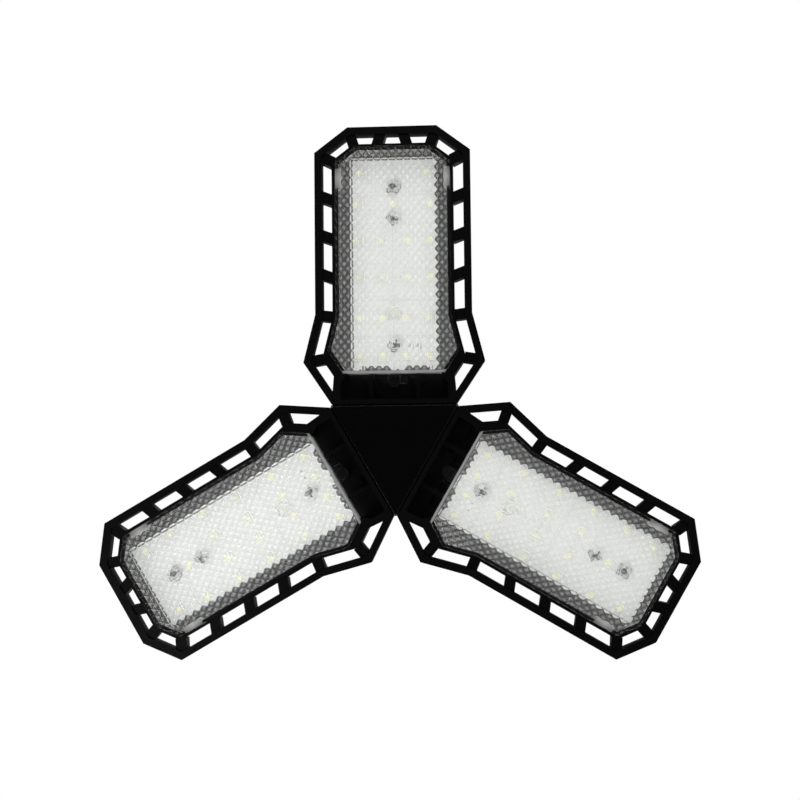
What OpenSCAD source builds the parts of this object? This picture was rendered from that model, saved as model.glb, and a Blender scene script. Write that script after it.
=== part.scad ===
// Folding three-leaf LED garage light on an Edison screw base.
// Millimetres. +Z points up to the lamp socket and the LEDs shine down, towards -Z.
// The origin is where the screw shell leaves its collar.
// Leaf modules are drawn as [along, across, up]: along the leaf from the hub's face,
// across it, and up from its lower (shining) face. at_leaf() puts them round the hub.

/* [Hub] */
// Distance from the light's axis to each of the hub's three faces
hub_inradius = 16; // [14:0.5:22]
// Radius that rounds the hub's three corners, from the axis
hub_corner_r = 31; // [26:0.5:36]
// Height of the hub, from its lower face to its round top
hub_height = 75; // [66:1:110]
// Wall of the hub housing
hub_wall = 2; // [1.5:0.1:3]
// Thickness of the hub's lower cover
cover_t = 2.4; // [1.8:0.1:3.5]
// Bevel round the lower cover's edge
cover_bevel = 0.7; // [0.3:0.1:1.2]
// Vent slots on each hub face
vent_count = 5; // [1:1:5]
// Width of a vent slot
vent_w = 2.2; // [1.5:0.1:3]
// Length of a vent slot
vent_len = 24; // [12:1:26]

/* [Collar and base] */
// Height of the round collar
collar_h = 16; // [12:1:24]
// Radius of the collar where it meets the hub
collar_r = 16; // [15:0.1:16.2]
// Radius of the collar at its upper edge
collar_top_r = 14.9; // [14.5:0.1:15.5]
// Radius over the screw shell's thread crests
shell_r = 13.1; // [12.9:0.05:13.2]
// Length of the screw shell above the collar
shell_len = 18; // [16:0.5:20]
// Sheet thickness of the screw shell
shell_t = 0.4; // [0.3:0.05:0.6]
// Height of the whole lamp base above the collar
base_h = 27; // [25:0.5:28]
// Radius of the centre contact
contact_r = 5; // [4:0.1:6]

/* [Leaf outline] */
// Length of a leaf, from the hub's face to its tip
leaf_length = 118.4; // [105:0.1:150]
// Half width of the leaf's tip edge
tip_half = 19; // [14:0.1:24]
// Length of the slanted corner, measured along the leaf
tip_corner = 10.7; // [8:0.1:14]
// Half width of the leaf's straight sides
body_half = 33.2; // [31:0.1:38]
// Where the straight sides end and the hips begin
waist = 38.3; // [34:0.1:44]
// Where the leaf is widest
hip = 18; // [16:0.1:22]
// Half width at the hips
hip_half = 38.4; // [36:0.1:42]
// Half width of the heel, at the hub
heel_half = 26.5; // [25.5:0.1:27]

/* [Leaf section] */
// Depth of the leaf, from its lower face to its back plate
leaf_depth = 12; // [11:0.5:15]
// Depth of the lattice rim
rim_depth = 7; // [5:0.5:9]
// Width of the rim's outer bar
rim_bar = 3.1; // [2:0.1:4]
// Clear width of the rim's windows
window_w = 4.3; // [3:0.1:6]
// Width of the spokes between the windows
spoke_w = 4.6; // [3:0.1:6]
// Lean of the spokes along the sides, degrees
side_lean = 21; // [0:1:30]
// Lean of the spokes at the tip, degrees
tip_lean = 18; // [0:1:25]
// How far the spokes sit back from the rim's lower face
spoke_set = 0.6; // [0.2:0.1:1.5]
// Windows along each straight side
side_windows = 4; // [2:1:6]
// Windows along the tip
tip_windows = 3; // [2:1:4]
// Wall of the leaf's tray
tray_wall = 1.2; // [1:0.1:2.4]
// Wall of the leaf's tray at its tip
tip_wall = 0.9; // [0.8:0.1:2.4]
// Wall beside the neck
neck_wall = 3.8; // [3:0.1:4.5]
// Thickness of the wall that meets the hub
heel_wall = 2.1; // [1.6:0.1:3]
// Thickness of the back plate
back_t = 2.4; // [2:0.1:3.5]
// Cooling fins on the back
fin_count = 9; // [3:1:9]
// Thickness of a fin
fin_t = 1.6; // [1:0.1:2.4]
// Height of a fin
fin_h = 2.8; // [1.5:0.1:3]
// Distance from fin to fin
fin_pitch = 5.2; // [4:0.1:5.6]
// Thickness of the two ribs across the neck
rib_t = 1.9; // [1.2:0.1:2.5]
// Distance of each neck rib from the leaf's middle
rib_out = 10; // [8:0.1:14]

/* [Lens] */
// Where the lens begins, measured from the hub's face
lens_start = 13; // [12:0.1:15]
// Thickness of the lens face
lens_t = 1.4; // [1:0.1:2]
// Thickness of the lens skirt
skirt_t = 1.2; // [0.8:0.1:1.6]
// How far the lens sits behind the rim's lower face
lens_set = 0.6; // [0.2:0.1:1.5]
// Gap between the lens and the tray wall
lens_gap = 0.2; // [0.1:0.05:0.4]
// Width of the lens tongue on the neck
tongue_w = 5.5; // [4:0.1:8]
// Length of the lens tongue on the neck
tongue_len = 6; // [4:0.1:8]
// Thickness of the lens tongue
tongue_t = 1.6; // [1:0.1:2]
// Length of the snap hooks on the lens's sides
hook_len = 8.5; // [4:0.1:10]
// How much thicker the skirt is behind its snap hooks
hook_root = 1.1; // [0.5:0.1:1.2]

/* [LED board] */
// Width of the LED board
board_w = 36.5; // [34:0.1:40]
// Gap between the LED board and the lens at the hub end
board_heel_gap = 0.6; // [0.3:0.1:1.5]
// Gap between the LED board and the lens at the tip
board_tip_gap = 2.5; // [2.5:0.1:6]
// Thickness of the LED board
board_t = 1.6; // [1:0.1:2]
// Length of an LED package, across the leaf
led_len = 3.5; // [2.5:0.1:5]
// Width of an LED package, along the leaf
led_w = 2.8; // [2:0.1:5]
// Height of an LED package
led_h = 0.7; // [0.5:0.1:1]
// Radius of a board screw's head
screw_head_r = 2.75; // [2.4:0.05:3]
// Radius of a board screw's shank
screw_r = 1.5; // [1.2:0.05:1.6]
// Radius of the lead plug's head
plug_r = 3.2; // [2.6:0.1:3.6]
// Diameter of a lead over its insulation
lead_d = 1.3; // [1:0.05:1.35]

/* [Hinge] */
// Distance from the hub's face to the hinge axis
hinge_out = 3.8; // [3.8:0.1:5]
// Height of the hinge axis above the leaf's back plate
hinge_lift = 0.6; // [0.6:0.1:1]
// Radius of the hinge knuckles
knuckle_r = 3.4; // [3:0.05:3.45]
// Radius of the hinge bolt
bolt_r = 1.5; // [1:0.05:1.6]
// Radial running clearance on the hinge bolt
bolt_fit = 0.05; // [0.02:0.01:0.1]
// Distance from the leaf's middle to the near side of each hub lug
lug_from = 6; // [5:0.1:7]
// Width of a hub lug
lug_w = 6; // [4:0.1:6.5]
// Width of a leaf knuckle
knuckle_w = 6.4; // [4:0.1:6.5]
// Thickness of a friction washer
washer_t = 0.5; // [0.3:0.05:0.8]
// Gap between the leaf and the hub when the leaf is flat
leaf_gap = 0.2; // [0.15:0.05:0.4]

/* [Driver] */
// Width of the driver board
driver_w = 34; // [30:0.5:35]
// Height of the driver board
driver_h = 46; // [44:0.5:46]
// Thickness of the driver board
driver_t = 1.6; // [1:0.1:2]
// Thickness of the leads from the base to the driver board
feed_d = 1.5; // [1:0.1:2]

/* [Hidden] */
$fn = 64;
LEAVES = ["a", "b", "c"];
LEAF_ANGLES = [270, 150, 30];
HUB_NODES = ["hub_housing", "hub_cover", "collar", "collar_screws", "screw_shell",
    "base_insulator", "centre_contact", "lead_bushes", "driver_board", "driver_screws",
    "transformer", "bulk_capacitors", "filter_choke", "rectifier", "driver_chips",
    "fusible_resistor", "output_sockets", "live_lead", "neutral_lead"];
LEAF_NODES = ["leaf_frame", "leaf_lens", "led_board", "leds", "board_screws", "lead_plug",
    "leaf_leads", "hinge_bolt", "hinge_nut", "hinge_washers"];

// Small lengths that several pieces share
EPS = 0.01;       // overlap that lets a cut pass a face
SEAT = 0.05;      // radial room between a fixed screw or peg and its hole
SLACK = 0.25;     // side room between a lug and the leaf

// Levels above the light's lower face
front_z = -(hub_height + collar_h);
floor_z = leaf_depth - back_t;
board_z = floor_z - board_t;
lens_back_z = lens_set + lens_t;
hinge_z = leaf_depth + hinge_lift;
roof_t = 2.5;
roof_hole_r = 8;
groove_depth = lead_d + 2 * SEAT;
lead_side = 4.3;
lead_z = floor_z + lead_d / 2 + SEAT;

// The neck is an open pocket with a raised bench over the hinge
bench_t = 1.6;
bench_to = hinge_out + knuckle_r + 1.6;
bench_z = hinge_z - knuckle_r - SLACK - bench_t;
pocket_half = heel_half - neck_wall;
pocket_end_half = pocket_half - 2.8;

// Snap hooks on the lens's sides
hook_z = 5;
hook_h = 1.6;
hook_out = 0.9;

// Hinge stations across the leaf
lug_to = lug_from + lug_w;
washer_from = lug_to + SEAT;
knuckle_from = washer_from + washer_t + SEAT;
knuckle_to = knuckle_from + knuckle_w;
bolt_head_r = 2.7;
bolt_head_h = 2;
nut_h = 2.4;
nut_flats = 5.5;

// LED places as shares of the board's length from the hub end, and of its half width.
// Each one is mirrored unless it is in the middle.
LED_ROWS = [[0.933, [0.77]], [0.787, [0, 0.84]], [0.612, [0.29, 0.84]],
    [0.438, [0.27, 0.82]], [0.247, [0.29, 0.84]], [0.063, [0.27, 0.82]]];
SCREW_SHARES = [0.118, 0.715, 0.865];
PLUG_SHARE = 0.27;
hook_back = 21.9;   // from the leaf's tip to the middle of the snap hooks
POST_PLACE = [5.8, -6.8];
post_r = 1.35;
post_h = 1.5;

// ---- Outlines -----------------------------------------------------------------------

function unit(v) = v / norm(v);
function inward(a, b) = let (d = unit(b - a)) [-d[1], d[0]];
function lerp(a, b, t) = a + (b - a) * t;

// Corner i of a counter-clockwise outline, moved in by one distance from the edge
// before it and by another from the edge after it
function inset_corner(p, i, before, after) =
    let (n = len(p), a = p[(i + n - 1) % n], b = p[i], c = p[(i + 1) % n])
    let (n1 = inward(a, b), n2 = inward(b, c), k = n1 * n2)
    b + ((before - after * k) * n1 + (after - before * k) * n2) / (1 - k * k);
function inset(p, d) = [for (i = [0:len(p) - 1]) inset_corner(p, i, d, d)];

// A closed outline from the half that lies at positive across, heel to tip
function whole(half) = concat([for (p = half) [p[0], -p[1]]],
    [for (i = [len(half) - 1:-1:0]) half[i]]);

LEAF = whole([[leaf_gap, heel_half], [hip, hip_half], [waist, body_half],
    [leaf_length - tip_corner, body_half], [leaf_length, tip_half]]);
HIP = 8;            // index of the hip corner at positive across, in LEAF
WAIST = 7;
SHOULDER = 6;
TIP = 5;
heel_slope = (hip_half - heel_half) / (hip - leaf_gap);
rim_w = rim_bar + window_w;

// The tray is the leaf's outline moved in past the rim, with a neck down to the heel
tray_all = inset(LEAF, rim_w);
neck_end = lens_start - 1;
neck_half = tray_all[HIP][1] - (tray_all[HIP][0] - neck_end) * heel_slope;
TRAY = whole([[leaf_gap, heel_half], [neck_end, neck_half], tray_all[HIP],
    tray_all[WAIST], tray_all[SHOULDER], tray_all[TIP]]);

// The lens sits in a cavity with a thicker wall beside the neck
cavity_in = rim_w + tray_wall;
cavity_hip = inset_corner(LEAF, HIP, cavity_in, rim_w + neck_wall);
cavity_all = inset(LEAF, cavity_in);
cavity_tip = inset_corner(LEAF, TIP, rim_w + tip_wall, cavity_in);
cavity_heel = cavity_hip[1] - (cavity_hip[0] - lens_start) * heel_slope;
CAVITY_SIDE = cavity_all[WAIST][1];
CAVITY = whole([[lens_start, cavity_heel], cavity_hip, cavity_all[WAIST],
    cavity_all[SHOULDER], cavity_tip]);
LENS = inset(CAVITY, lens_gap);
POCKET = whole([[bench_to, pocket_half], [lens_start + lens_gap + EPS, pocket_end_half]]);
BENCH = whole([[heel_wall, pocket_half], [bench_to + EPS, pocket_half]]);

// The LED board fills the lens, and its holes and LEDs are spread over its length
board_from = lens_start + lens_gap + skirt_t + board_heel_gap;
board_to = cavity_tip[0] - lens_gap - skirt_t - board_tip_gap;
board_len = board_to - board_from;
function board_at(share) = board_from + share * board_len;
SCREW_PLACES = [for (share = SCREW_SHARES) board_at(share)];
PLUG_PLACE = board_at(PLUG_SHARE);
HOOK_PLACE = leaf_length - hook_back;

// A straight bar from a to b, w wide
module bar(a, b, w) {
    n = inward(a, b) * w / 2;
    polygon([a - n, b - n, b + n, a + n]);
}

module slab(points, from, to) {
    translate([0, 0, from]) linear_extrude(to - from) polygon(points);
}

// A rod along the across direction
module rod(r, from, to) {
    rotate([-90, 0, 0]) translate([0, 0, from]) cylinder(r = r, h = to - from);
}

module at_leaf(i) {
    rotate([0, 0, LEAF_ANGLES[i]]) translate([hub_inradius, 0, front_z]) children();
}

module at_hinge() {
    translate([hinge_out, 0, hinge_z]) children();
}

// ---- Leaf ---------------------------------------------------------------------------

module rim_outline() {
    middle = inset(LEAF, rim_bar / 2);
    root = inset(LEAF, rim_w + tray_wall / 2);
    difference() {
        polygon(LEAF);
        polygon(inset(LEAF, rim_bar));
    }
    intersection() {
        polygon(LEAF);
        union() {
            for (i = [TIP:HIP], side = [1, -1])
                scale_across(side) bar(root[i], middle[i], spoke_w);
            for (i = [1:side_windows - 1], side = [1, -1]) {
                inner = lerp(tray_all[SHOULDER], tray_all[WAIST], i / side_windows);
                scale_across(side) leaning_bar(inner, [0, 1], side_lean);
            }
            for (i = [1:tip_windows - 1]) {
                across = lerp(tip_half, -tip_half, i / tip_windows);
                lean = across == 0 ? 0 : sign(across) * tip_lean;
                leaning_bar([tray_all[TIP][0], across], [1, 0], lean);
            }
        }
    }
}

module scale_across(side) {
    mirror([0, side > 0 ? 0 : 1]) children();
}

// A spoke from the tray's edge out to the middle of the rim bar, leaning by an angle.
// It starts half a wall inside the tray.
module leaning_bar(inner, out, lean) {
    dir = [out[0] * cos(lean) + out[1] * sin(lean), out[1] * cos(lean) - out[0] * sin(lean)];
    reach = (window_w + rim_bar / 2) / cos(lean);
    bar(inner - dir * tray_wall / 2, inner + dir * reach, spoke_w);
}

module fins() {
    fin_from = waist - 12;
    fin_to = tray_all[SHOULDER][0];
    first = -(fin_count - 1) / 2;
    for (i = [0:fin_count - 1])
        translate([fin_from, (first + i) * fin_pitch - fin_t / 2, leaf_depth - EPS])
            cube([fin_to - fin_from, fin_t, fin_h + EPS]);
}

module hinge_room() {
    top = hinge_z + knuckle_r + 1;
    low = hinge_z - knuckle_r - SLACK;
    reach = hinge_out + knuckle_r + SLACK;
    for (side = [1, -1]) scale_across(side) {
        translate([-1, lug_from - SLACK, low])
            cube([reach + 1, knuckle_from - lug_from + SLACK, top - low]);
        translate([-1, knuckle_to, low])
            cube([reach + 1, nut_h + 2 * SLACK, top - low]);
    }
    at_hinge() rod(bolt_r + SLACK, -lug_from, lug_from);
}

module knuckles() {
    for (side = [1, -1]) scale_across(side) difference() {
        union() {
            at_hinge() rod(knuckle_r, knuckle_from, knuckle_to);
            translate([leaf_gap, knuckle_from, hinge_z - knuckle_r])
                cube([hinge_out - leaf_gap + knuckle_r, knuckle_w, knuckle_r]);
        }
        at_hinge() rod(bolt_r + SEAT, knuckle_from - 1, knuckle_to + 1);
    }
}

module neck_details() {
    rib_z = lens_back_z + tongue_t;
    for (side = [1, -1])
        translate([heel_wall - EPS, side * rib_out - rib_t / 2, rib_z])
            cube([lens_start - heel_wall - SEAT, rib_t, floor_z - rib_z + EPS]);
    // Post under the lens tongue, and a small round post beside it
    translate([lens_start - tongue_len + 1, -tongue_w / 2 + 0.75, rib_z])
        cube([tongue_len - 2, tongue_w - 1.5, floor_z - rib_z + EPS]);
    translate([POST_PLACE[0], POST_PLACE[1], bench_z - post_h]) cylinder(r = post_r, h = post_h + EPS);
}

module leaf_frame() {
    color("#17171a") {
        difference() {
            leaf_casting();
            hinge_room();
            lead_groove();
            at_hinge() rod(bolt_r + SEAT, -knuckle_to - 1, knuckle_to + 1);
        }
        knuckles();
    }
}

module leaf_casting() {
    difference() {
        union() {
            difference() {
                union() {
                    slab(TRAY, 0, leaf_depth);
                    difference() {
                        linear_extrude(rim_depth) rim_outline();
                        translate([0, 0, -1]) linear_extrude(spoke_set + 1) difference() {
                            polygon(inset(LEAF, rim_bar));
                            polygon(TRAY);
                        }
                    }
                    fins();
                }
                slab(CAVITY, -1, floor_z);
                slab(POCKET, -1, floor_z);
                slab(BENCH, -1, bench_z);
            }
            neck_details();
        }
        for (along = SCREW_PLACES)
            translate([along, 0, floor_z - 1]) cylinder(r = screw_r + SEAT, h = back_t);
        // Pockets for the lens's snap hooks
        for (side = [1, -1]) scale_across(side)
            translate([HOOK_PLACE - hook_len / 2 - lens_gap, CAVITY_SIDE - EPS, hook_z - lens_gap])
                cube([hook_len + 2 * lens_gap, hook_out, hook_h + 2 * lens_gap]);
    }
}

// The leads' way from the heel, round the first board screw and up to the plug
function lead_way(side) = let (off = side * (lead_d + SEAT) / 2, turn = bench_to + 1)
    [[leaf_gap + 0.4, off, lead_z], [turn - off, off, lead_z],
     [turn - off, lead_side + off, lead_z], [PLUG_PLACE + off, lead_side + off, lead_z],
     [PLUG_PLACE + off, 0, lead_z]];

// Groove for the leads, under the board and out through the heel
module lead_groove() {
    way = lead_way(0);
    half = lead_d + 1.5 * SEAT;
    for (i = [0:3]) {
        a = way[i];
        b = way[i + 1];
        translate([min(a[0], b[0]) - half, min(a[1], b[1]) - half, floor_z - EPS])
            cube([abs(a[0] - b[0]) + 2 * half, abs(a[1] - b[1]) + 2 * half, groove_depth + EPS]);
    }
}

module leaf_lens() {
    color("#e8eef2", 0.45) {
        difference() {
            slab(LENS, lens_set, floor_z);
            slab(inset(LENS, skirt_t), lens_back_z, floor_z + 1);
        }
        // Snap hooks on the long sides, with a thicker skirt behind them
        for (side = [1, -1]) scale_across(side) {
            translate([HOOK_PLACE - hook_len / 2, CAVITY_SIDE - lens_gap - EPS, hook_z])
                cube([hook_len, hook_out - 0.1 + lens_gap, hook_h]);
            translate([HOOK_PLACE - hook_len / 2, CAVITY_SIDE - lens_gap - skirt_t - hook_root,
                lens_back_z - EPS])
                cube([hook_len, hook_root + EPS, hook_z + hook_h - lens_back_z]);
        }
        // Tongue that rests on the neck's post
        translate([lens_start + lens_gap - tongue_len, 0, lens_back_z]) {
            translate([tongue_w / 2, -tongue_w / 2, 0])
                cube([tongue_len - tongue_w / 2 + EPS, tongue_w, tongue_t]);
            intersection() {
                translate([tongue_w / 2, 0, 0]) cylinder(r = tongue_w / 2, h = tongue_t);
                translate([0, -tongue_w / 2, 0]) cube([tongue_w / 2, tongue_w, tongue_t]);
            }
        }
    }
}

module led_board() {
    color("#eceff0") difference() {
        translate([board_from, -board_w / 2, board_z]) cube([board_len, board_w, board_t]);
        for (along = SCREW_PLACES)
            translate([along, 0, board_z - 1]) cylinder(r = screw_r + 0.1, h = board_t + 2);
        translate([PLUG_PLACE, 0, board_z - 1]) cylinder(r = plug_r - 1, h = board_t + 2);
    }
}

module leds() {
    color("#f4f2c8") for (row = LED_ROWS, across = row[1], side = across == 0 ? [1] : [1, -1])
        translate([board_at(row[0]) - led_w / 2, side * across * board_w / 2 - led_len / 2,
            board_z - led_h])
            cube([led_w, led_len, led_h]);
}

// A pan-head screw whose head stands below z = 0 and whose shank runs up from it
module pan_screw(head_r, head_h, shank_r, shank_len) {
    slot_w = head_r / 3.4;
    difference() {
        union() {
            rotate_extrude() polygon([[0, -head_h], [head_r * 0.72, -head_h],
                [head_r, -head_h * 0.55], [head_r, 0], [0, 0]]);
            translate([0, 0, -EPS]) cylinder(r = shank_r, h = shank_len + EPS);
        }
        for (turn = [0, 90]) rotate([0, 0, turn])
            translate([-head_r * 0.6, -slot_w / 2, -head_h - 1])
                cube([head_r * 1.2, slot_w, head_h * 0.6 + 1]);
    }
}

module board_screws() {
    color("#4a4a4e") for (along = SCREW_PLACES)
        translate([along, 0, board_z]) pan_screw(screw_head_r, 2, screw_r, board_t + 1.2);
}

module lead_plug() {
    color("#dcdcd6", 0.8) translate([PLUG_PLACE, 0, 0]) {
        rotate_extrude() polygon([[0, board_z - 1.1], [plug_r * 0.7, board_z - 1.1],
            [plug_r, board_z - 0.4], [plug_r, board_z], [plug_r - 1 - SEAT, board_z],
            [plug_r - 1 - SEAT, floor_z], [0, floor_z]]);
    }
}

module leaf_leads() {
    color("#26262a") for (side = [1, -1]) {
        way = lead_way(side);
        for (i = [0:3]) {
            step = way[i + 1] - way[i];
            translate(way[i]) rotate([0, 90, atan2(step[1], step[0])])
                cylinder(d = lead_d, h = norm(step));
            if (i > 0) translate(way[i]) sphere(d = lead_d + SEAT);
        }
    }
}

module hinge_bolt() {
    color("#8d9095") at_hinge() {
        rod(bolt_r, -knuckle_to - EPS, knuckle_to + nut_h);
        difference() {
            rod(bolt_head_r, -knuckle_to - bolt_head_h, -knuckle_to);
            rotate([-90, 0, 0]) translate([0, 0, -knuckle_to - bolt_head_h - 1])
                cylinder(r = 1.2, h = 2.2, $fn = 6);
        }
    }
}

module hinge_nut() {
    color("#a4a7ab") at_hinge() difference() {
        rotate([-90, 0, 0]) translate([0, 0, knuckle_to])
            cylinder(r = nut_flats / sqrt(3), h = nut_h, $fn = 6);
        rod(bolt_r + SEAT, knuckle_to - 1, knuckle_to + nut_h + 1);
    }
}

module hinge_washers() {
    color("#b9bcc0") at_hinge() for (side = [1, -1]) scale_across(side) difference() {
        rod(knuckle_r - 0.3, washer_from, washer_from + washer_t);
        rod(bolt_r + SEAT, washer_from - 1, washer_from + washer_t + 1);
    }
}

// ---- Hub ----------------------------------------------------------------------------

// The hub's plan: a triangle with faces at a distance from the axis and rounded corners
module hub_plan(face, corner, from, to) {
    intersection() {
        translate([0, 0, from]) linear_extrude(to - from)
            polygon([for (a = LEAF_ANGLES) 2 * face * [cos(a + 60), sin(a + 60)]]);
        translate([0, 0, from - 1]) cylinder(r = corner, h = to - from + 2);
    }
}

module at_corners(r) {
    for (a = LEAF_ANGLES) rotate([0, 0, a + 60]) translate([r, 0, 0]) children();
}

shoulder_h = 14;
lip_r = shell_r - 3;
insulator_z = shell_len + 1.6;
contact_z = base_h - 3.2;
peg_place = 22.5;
peg_r = 2;
peg_len = 7;
boss_r = 3.4;
web_t = 1.6;
pad_w = 20;
pad_h = 2.5;
pad_gap = 0.15;
driver_back = -7.6;
driver_low = 15;
post_side = driver_w / 2 - 2.8;
post_places = [[-post_side, driver_low + 5], [post_side, driver_low + driver_h - 5]];
driver_post_r = 2.3;
driver_screw_r = 1;
bush_r = 2.4;
bush_hole_r = 1.4;
bush_flange = [0.9, 0.8];   // out past the bush, and thick
collar_screw_place = 11.5;
collar_screw_r = 1.25;
collar_bore_r = 9;
collar_foot = 3;
collar_rim = 0.8;
shell_seat = 6;             // depth of the collar's bore for the shell

// Cuts the corners back to the round collar near the top
module shoulders(extra) {
    rotate_extrude() polygon([[0, -1], [hub_corner_r + 5, -1],
        [hub_corner_r + 5, hub_height - shoulder_h + extra],
        [collar_r + 0.8 + extra, hub_height + extra], [0, hub_height + extra]]);
}

module lug(side) {
    scale_across(side) difference() {
        union() {
            at_hinge() rod(knuckle_r, lug_from, lug_to);
            translate([-hub_wall / 2, lug_from, hinge_z - knuckle_r])
                cube([hinge_out + hub_wall / 2, lug_w, 2 * knuckle_r]);
        }
        at_hinge() rod(bolt_r + bolt_fit, lug_from - 1, lug_to + 1);
    }
}

module hub_housing() {
    rest_pad = hinge_out - (leaf_depth + fin_h - hinge_z) - pad_gap;
    color("#131316") translate([0, 0, front_z]) {
        difference() {
            intersection() {
                hub_plan(hub_inradius, hub_corner_r, cover_t, hub_height);
                shoulders(0);
            }
            intersection() {
                hub_plan(hub_inradius - hub_wall, hub_corner_r - hub_wall, -1, hub_height - roof_t);
                shoulders(-roof_t);
            }
            translate([0, 0, hub_height - roof_t - 1]) cylinder(r = roof_hole_r, h = roof_t + 2);
            at_corners(collar_screw_place)
                translate([0, 0, hub_height - roof_t - 1])
                    cylinder(r = collar_screw_r + 2 * SEAT, h = roof_t + 2);
            for (i = [0:2]) rotate([0, 0, LEAF_ANGLES[i]]) translate([hub_inradius, 0, 0]) {
                for (k = [0:vent_count - 1])
                    translate([-hub_wall - 1, (k - (vent_count - 1) / 2) * 2 * vent_w - vent_w / 2,
                        hub_height / 2 - 6])
                        cube([hub_wall + 2, vent_w, vent_len]);
                translate([-hub_wall - 1, 0, lead_z]) rotate([0, 90, 0])
                    cylinder(r = bush_r, h = hub_wall + 2);
            }
        }
        for (i = [0:2]) rotate([0, 0, LEAF_ANGLES[i]]) translate([hub_inradius, 0, 0]) {
            lug(1);
            lug(-1);
            // Pads that the fins rest on when the leaf is folded up
            translate([-EPS, -pad_w / 2, hub_height - shoulder_h - pad_h - 0.5])
                cube([rest_pad + EPS, pad_w, pad_h]);
        }
        // Sockets for the cover's pegs, each in a corner
        at_corners(peg_place) difference() {
            translate([0, 0, cover_t]) union() {
                cylinder(r = boss_r, h = peg_len + 2);
                translate([0, -web_t / 2, 1])
                    cube([hub_corner_r - peg_place - hub_wall / 2, web_t, peg_len + 1]);
            }
            translate([0, 0, cover_t - 1]) cylinder(r = peg_r + SEAT, h = peg_len + 1.5);
        }
        // Posts that carry the driver board
        for (place = post_places) translate([place[0], 0, place[1]]) rotate([90, 0, 0])
            difference() {
                translate([0, 0, -driver_back])
                    cylinder(r = driver_post_r, h = hub_inradius + driver_back - hub_wall / 2);
                translate([0, 0, -driver_back - 1]) cylinder(r = driver_screw_r + SEAT, h = 5);
            }
    }
}

module hub_cover() {
    corner_bevel = 1.3 * cover_bevel;
    color("#0d0d0f") translate([0, 0, front_z]) {
        difference() {
            intersection() {
                hub_plan(hub_inradius, 3 * hub_inradius, 0, cover_t);
                rotate_extrude() polygon([[0, 0], [hub_corner_r - corner_bevel, 0],
                    [hub_corner_r, corner_bevel], [hub_corner_r, cover_t + 1], [0, cover_t + 1]]);
            }
            // A square bar on its edge cuts the bevel along each face
            for (a = LEAF_ANGLES) rotate([0, 0, a]) translate([hub_inradius, 0, 0])
                rotate([0, 45, 0]) cube([sqrt(2) * cover_bevel, 2 * hub_corner_r,
                    sqrt(2) * cover_bevel], center = true);
        }
        at_corners(peg_place) translate([0, 0, cover_t - EPS]) cylinder(r = peg_r, h = peg_len);
    }
}

module collar() {
    flute_count = 36;
    flute_r = 0.55;
    flute_place = (collar_r + collar_top_r) / 2 + 0.25;
    color("#151518") difference() {
        rotate_extrude() polygon([[collar_bore_r, -collar_h], [collar_r, -collar_h],
            [collar_r, -collar_h + collar_foot], [collar_top_r, -collar_rim],
            [collar_top_r - collar_rim, 0], [shell_r - shell_t + SEAT, 0],
            [shell_r - shell_t + SEAT, -shell_seat], [collar_bore_r, -shell_seat]]);
        for (i = [0:flute_count - 1]) rotate([0, 0, i * 360 / flute_count])
            translate([flute_place, 0, -collar_h + 1.5 * collar_foot])
                cylinder(r = flute_r, h = collar_h - 2.4 * collar_foot, $fn = 16);
        at_corners(collar_screw_place)
            translate([0, 0, -collar_h - 1]) cylinder(r = collar_screw_r + SEAT, h = 8);
    }
}

module collar_screws() {
    color("#8b8e93") translate([0, 0, -collar_h - roof_t]) at_corners(collar_screw_place)
        pan_screw(2.3, 1.6, collar_screw_r, roof_t + 6);
}

module screw_shell() {
    color("#c9ccd0") rotate_extrude() polygon([
        [shell_r - 2 * shell_t, 1 - shell_seat], [shell_r - shell_t, 1 - shell_seat],
        [shell_r - shell_t, 0], [shell_r, 0],
        [shell_r, shell_len - 1], [lip_r, insulator_z],
        [lip_r - shell_t, insulator_z - shell_t], [shell_r - shell_t, shell_len - 1 - shell_t],
        [shell_r - shell_t, shell_t], [shell_r - 2 * shell_t, shell_t]]);
}

module base_insulator() {
    neck = lip_r - shell_t - SEAT;
    color("#1c1b20") rotate_extrude() polygon([[2, insulator_z - 1.5], [neck, insulator_z - 1.5],
        [neck, insulator_z], [lip_r, insulator_z], [contact_r + 1.6, base_h - 2.2],
        [contact_r + SEAT, base_h - 2.2], [contact_r + SEAT, contact_z], [2, contact_z]]);
}

module centre_contact() {
    dome = 1.2;
    color("#b9bcc2") rotate_extrude() polygon([[0, contact_z], [contact_r, contact_z],
        [contact_r, base_h - dome], [contact_r * 0.85, base_h - dome * 0.35],
        [contact_r * 0.5, base_h - dome * 0.05], [0, base_h]]);
}

module lead_bushes() {
    color("#2b2b2f") translate([0, 0, front_z]) for (a = LEAF_ANGLES) rotate([0, 0, a])
        translate([hub_inradius - hub_wall, 0, lead_z]) rotate([0, 90, 0]) difference() {
            union() {
                cylinder(r = bush_r - SEAT, h = hub_wall);
                translate([0, 0, -bush_flange[1]])
                    cylinder(r = bush_r + bush_flange[0], h = bush_flange[1]);
            }
            translate([0, 0, -2]) cylinder(r = bush_hole_r, h = hub_wall + 4);
        }
}

// ---- Driver -------------------------------------------------------------------------

// Places on the driver board: right, and up from its lower edge
transformer_up = 18;
capacitor_rights = [-7, 3];
capacitor_up = 10;
choke_place = [-4, 39];
rectifier_place = [5, 35.5];
rectifier_size = [6.5, 2.6, 5];
chip_places = [[10, 12], [-14.5, 24]];
chip_size = [4, 1.5, 5];
resistor_place = [-12.5, 32.5];
socket_rights = [-10, -2.5, 5];
driver_face = driver_back + driver_t;

module on_driver(right, up) {
    translate([right, driver_face, front_z + driver_low + up]) children();
}

module driver_board() {
    color("#3b6b3a") difference() {
        translate([-driver_w / 2, driver_back, front_z + driver_low]) cube([driver_w, driver_t, driver_h]);
        for (place = post_places) translate([place[0], 0, front_z + place[1]]) rotate([90, 0, 0])
            cylinder(r = driver_screw_r + 0.2, h = 20);
    }
}

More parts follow.
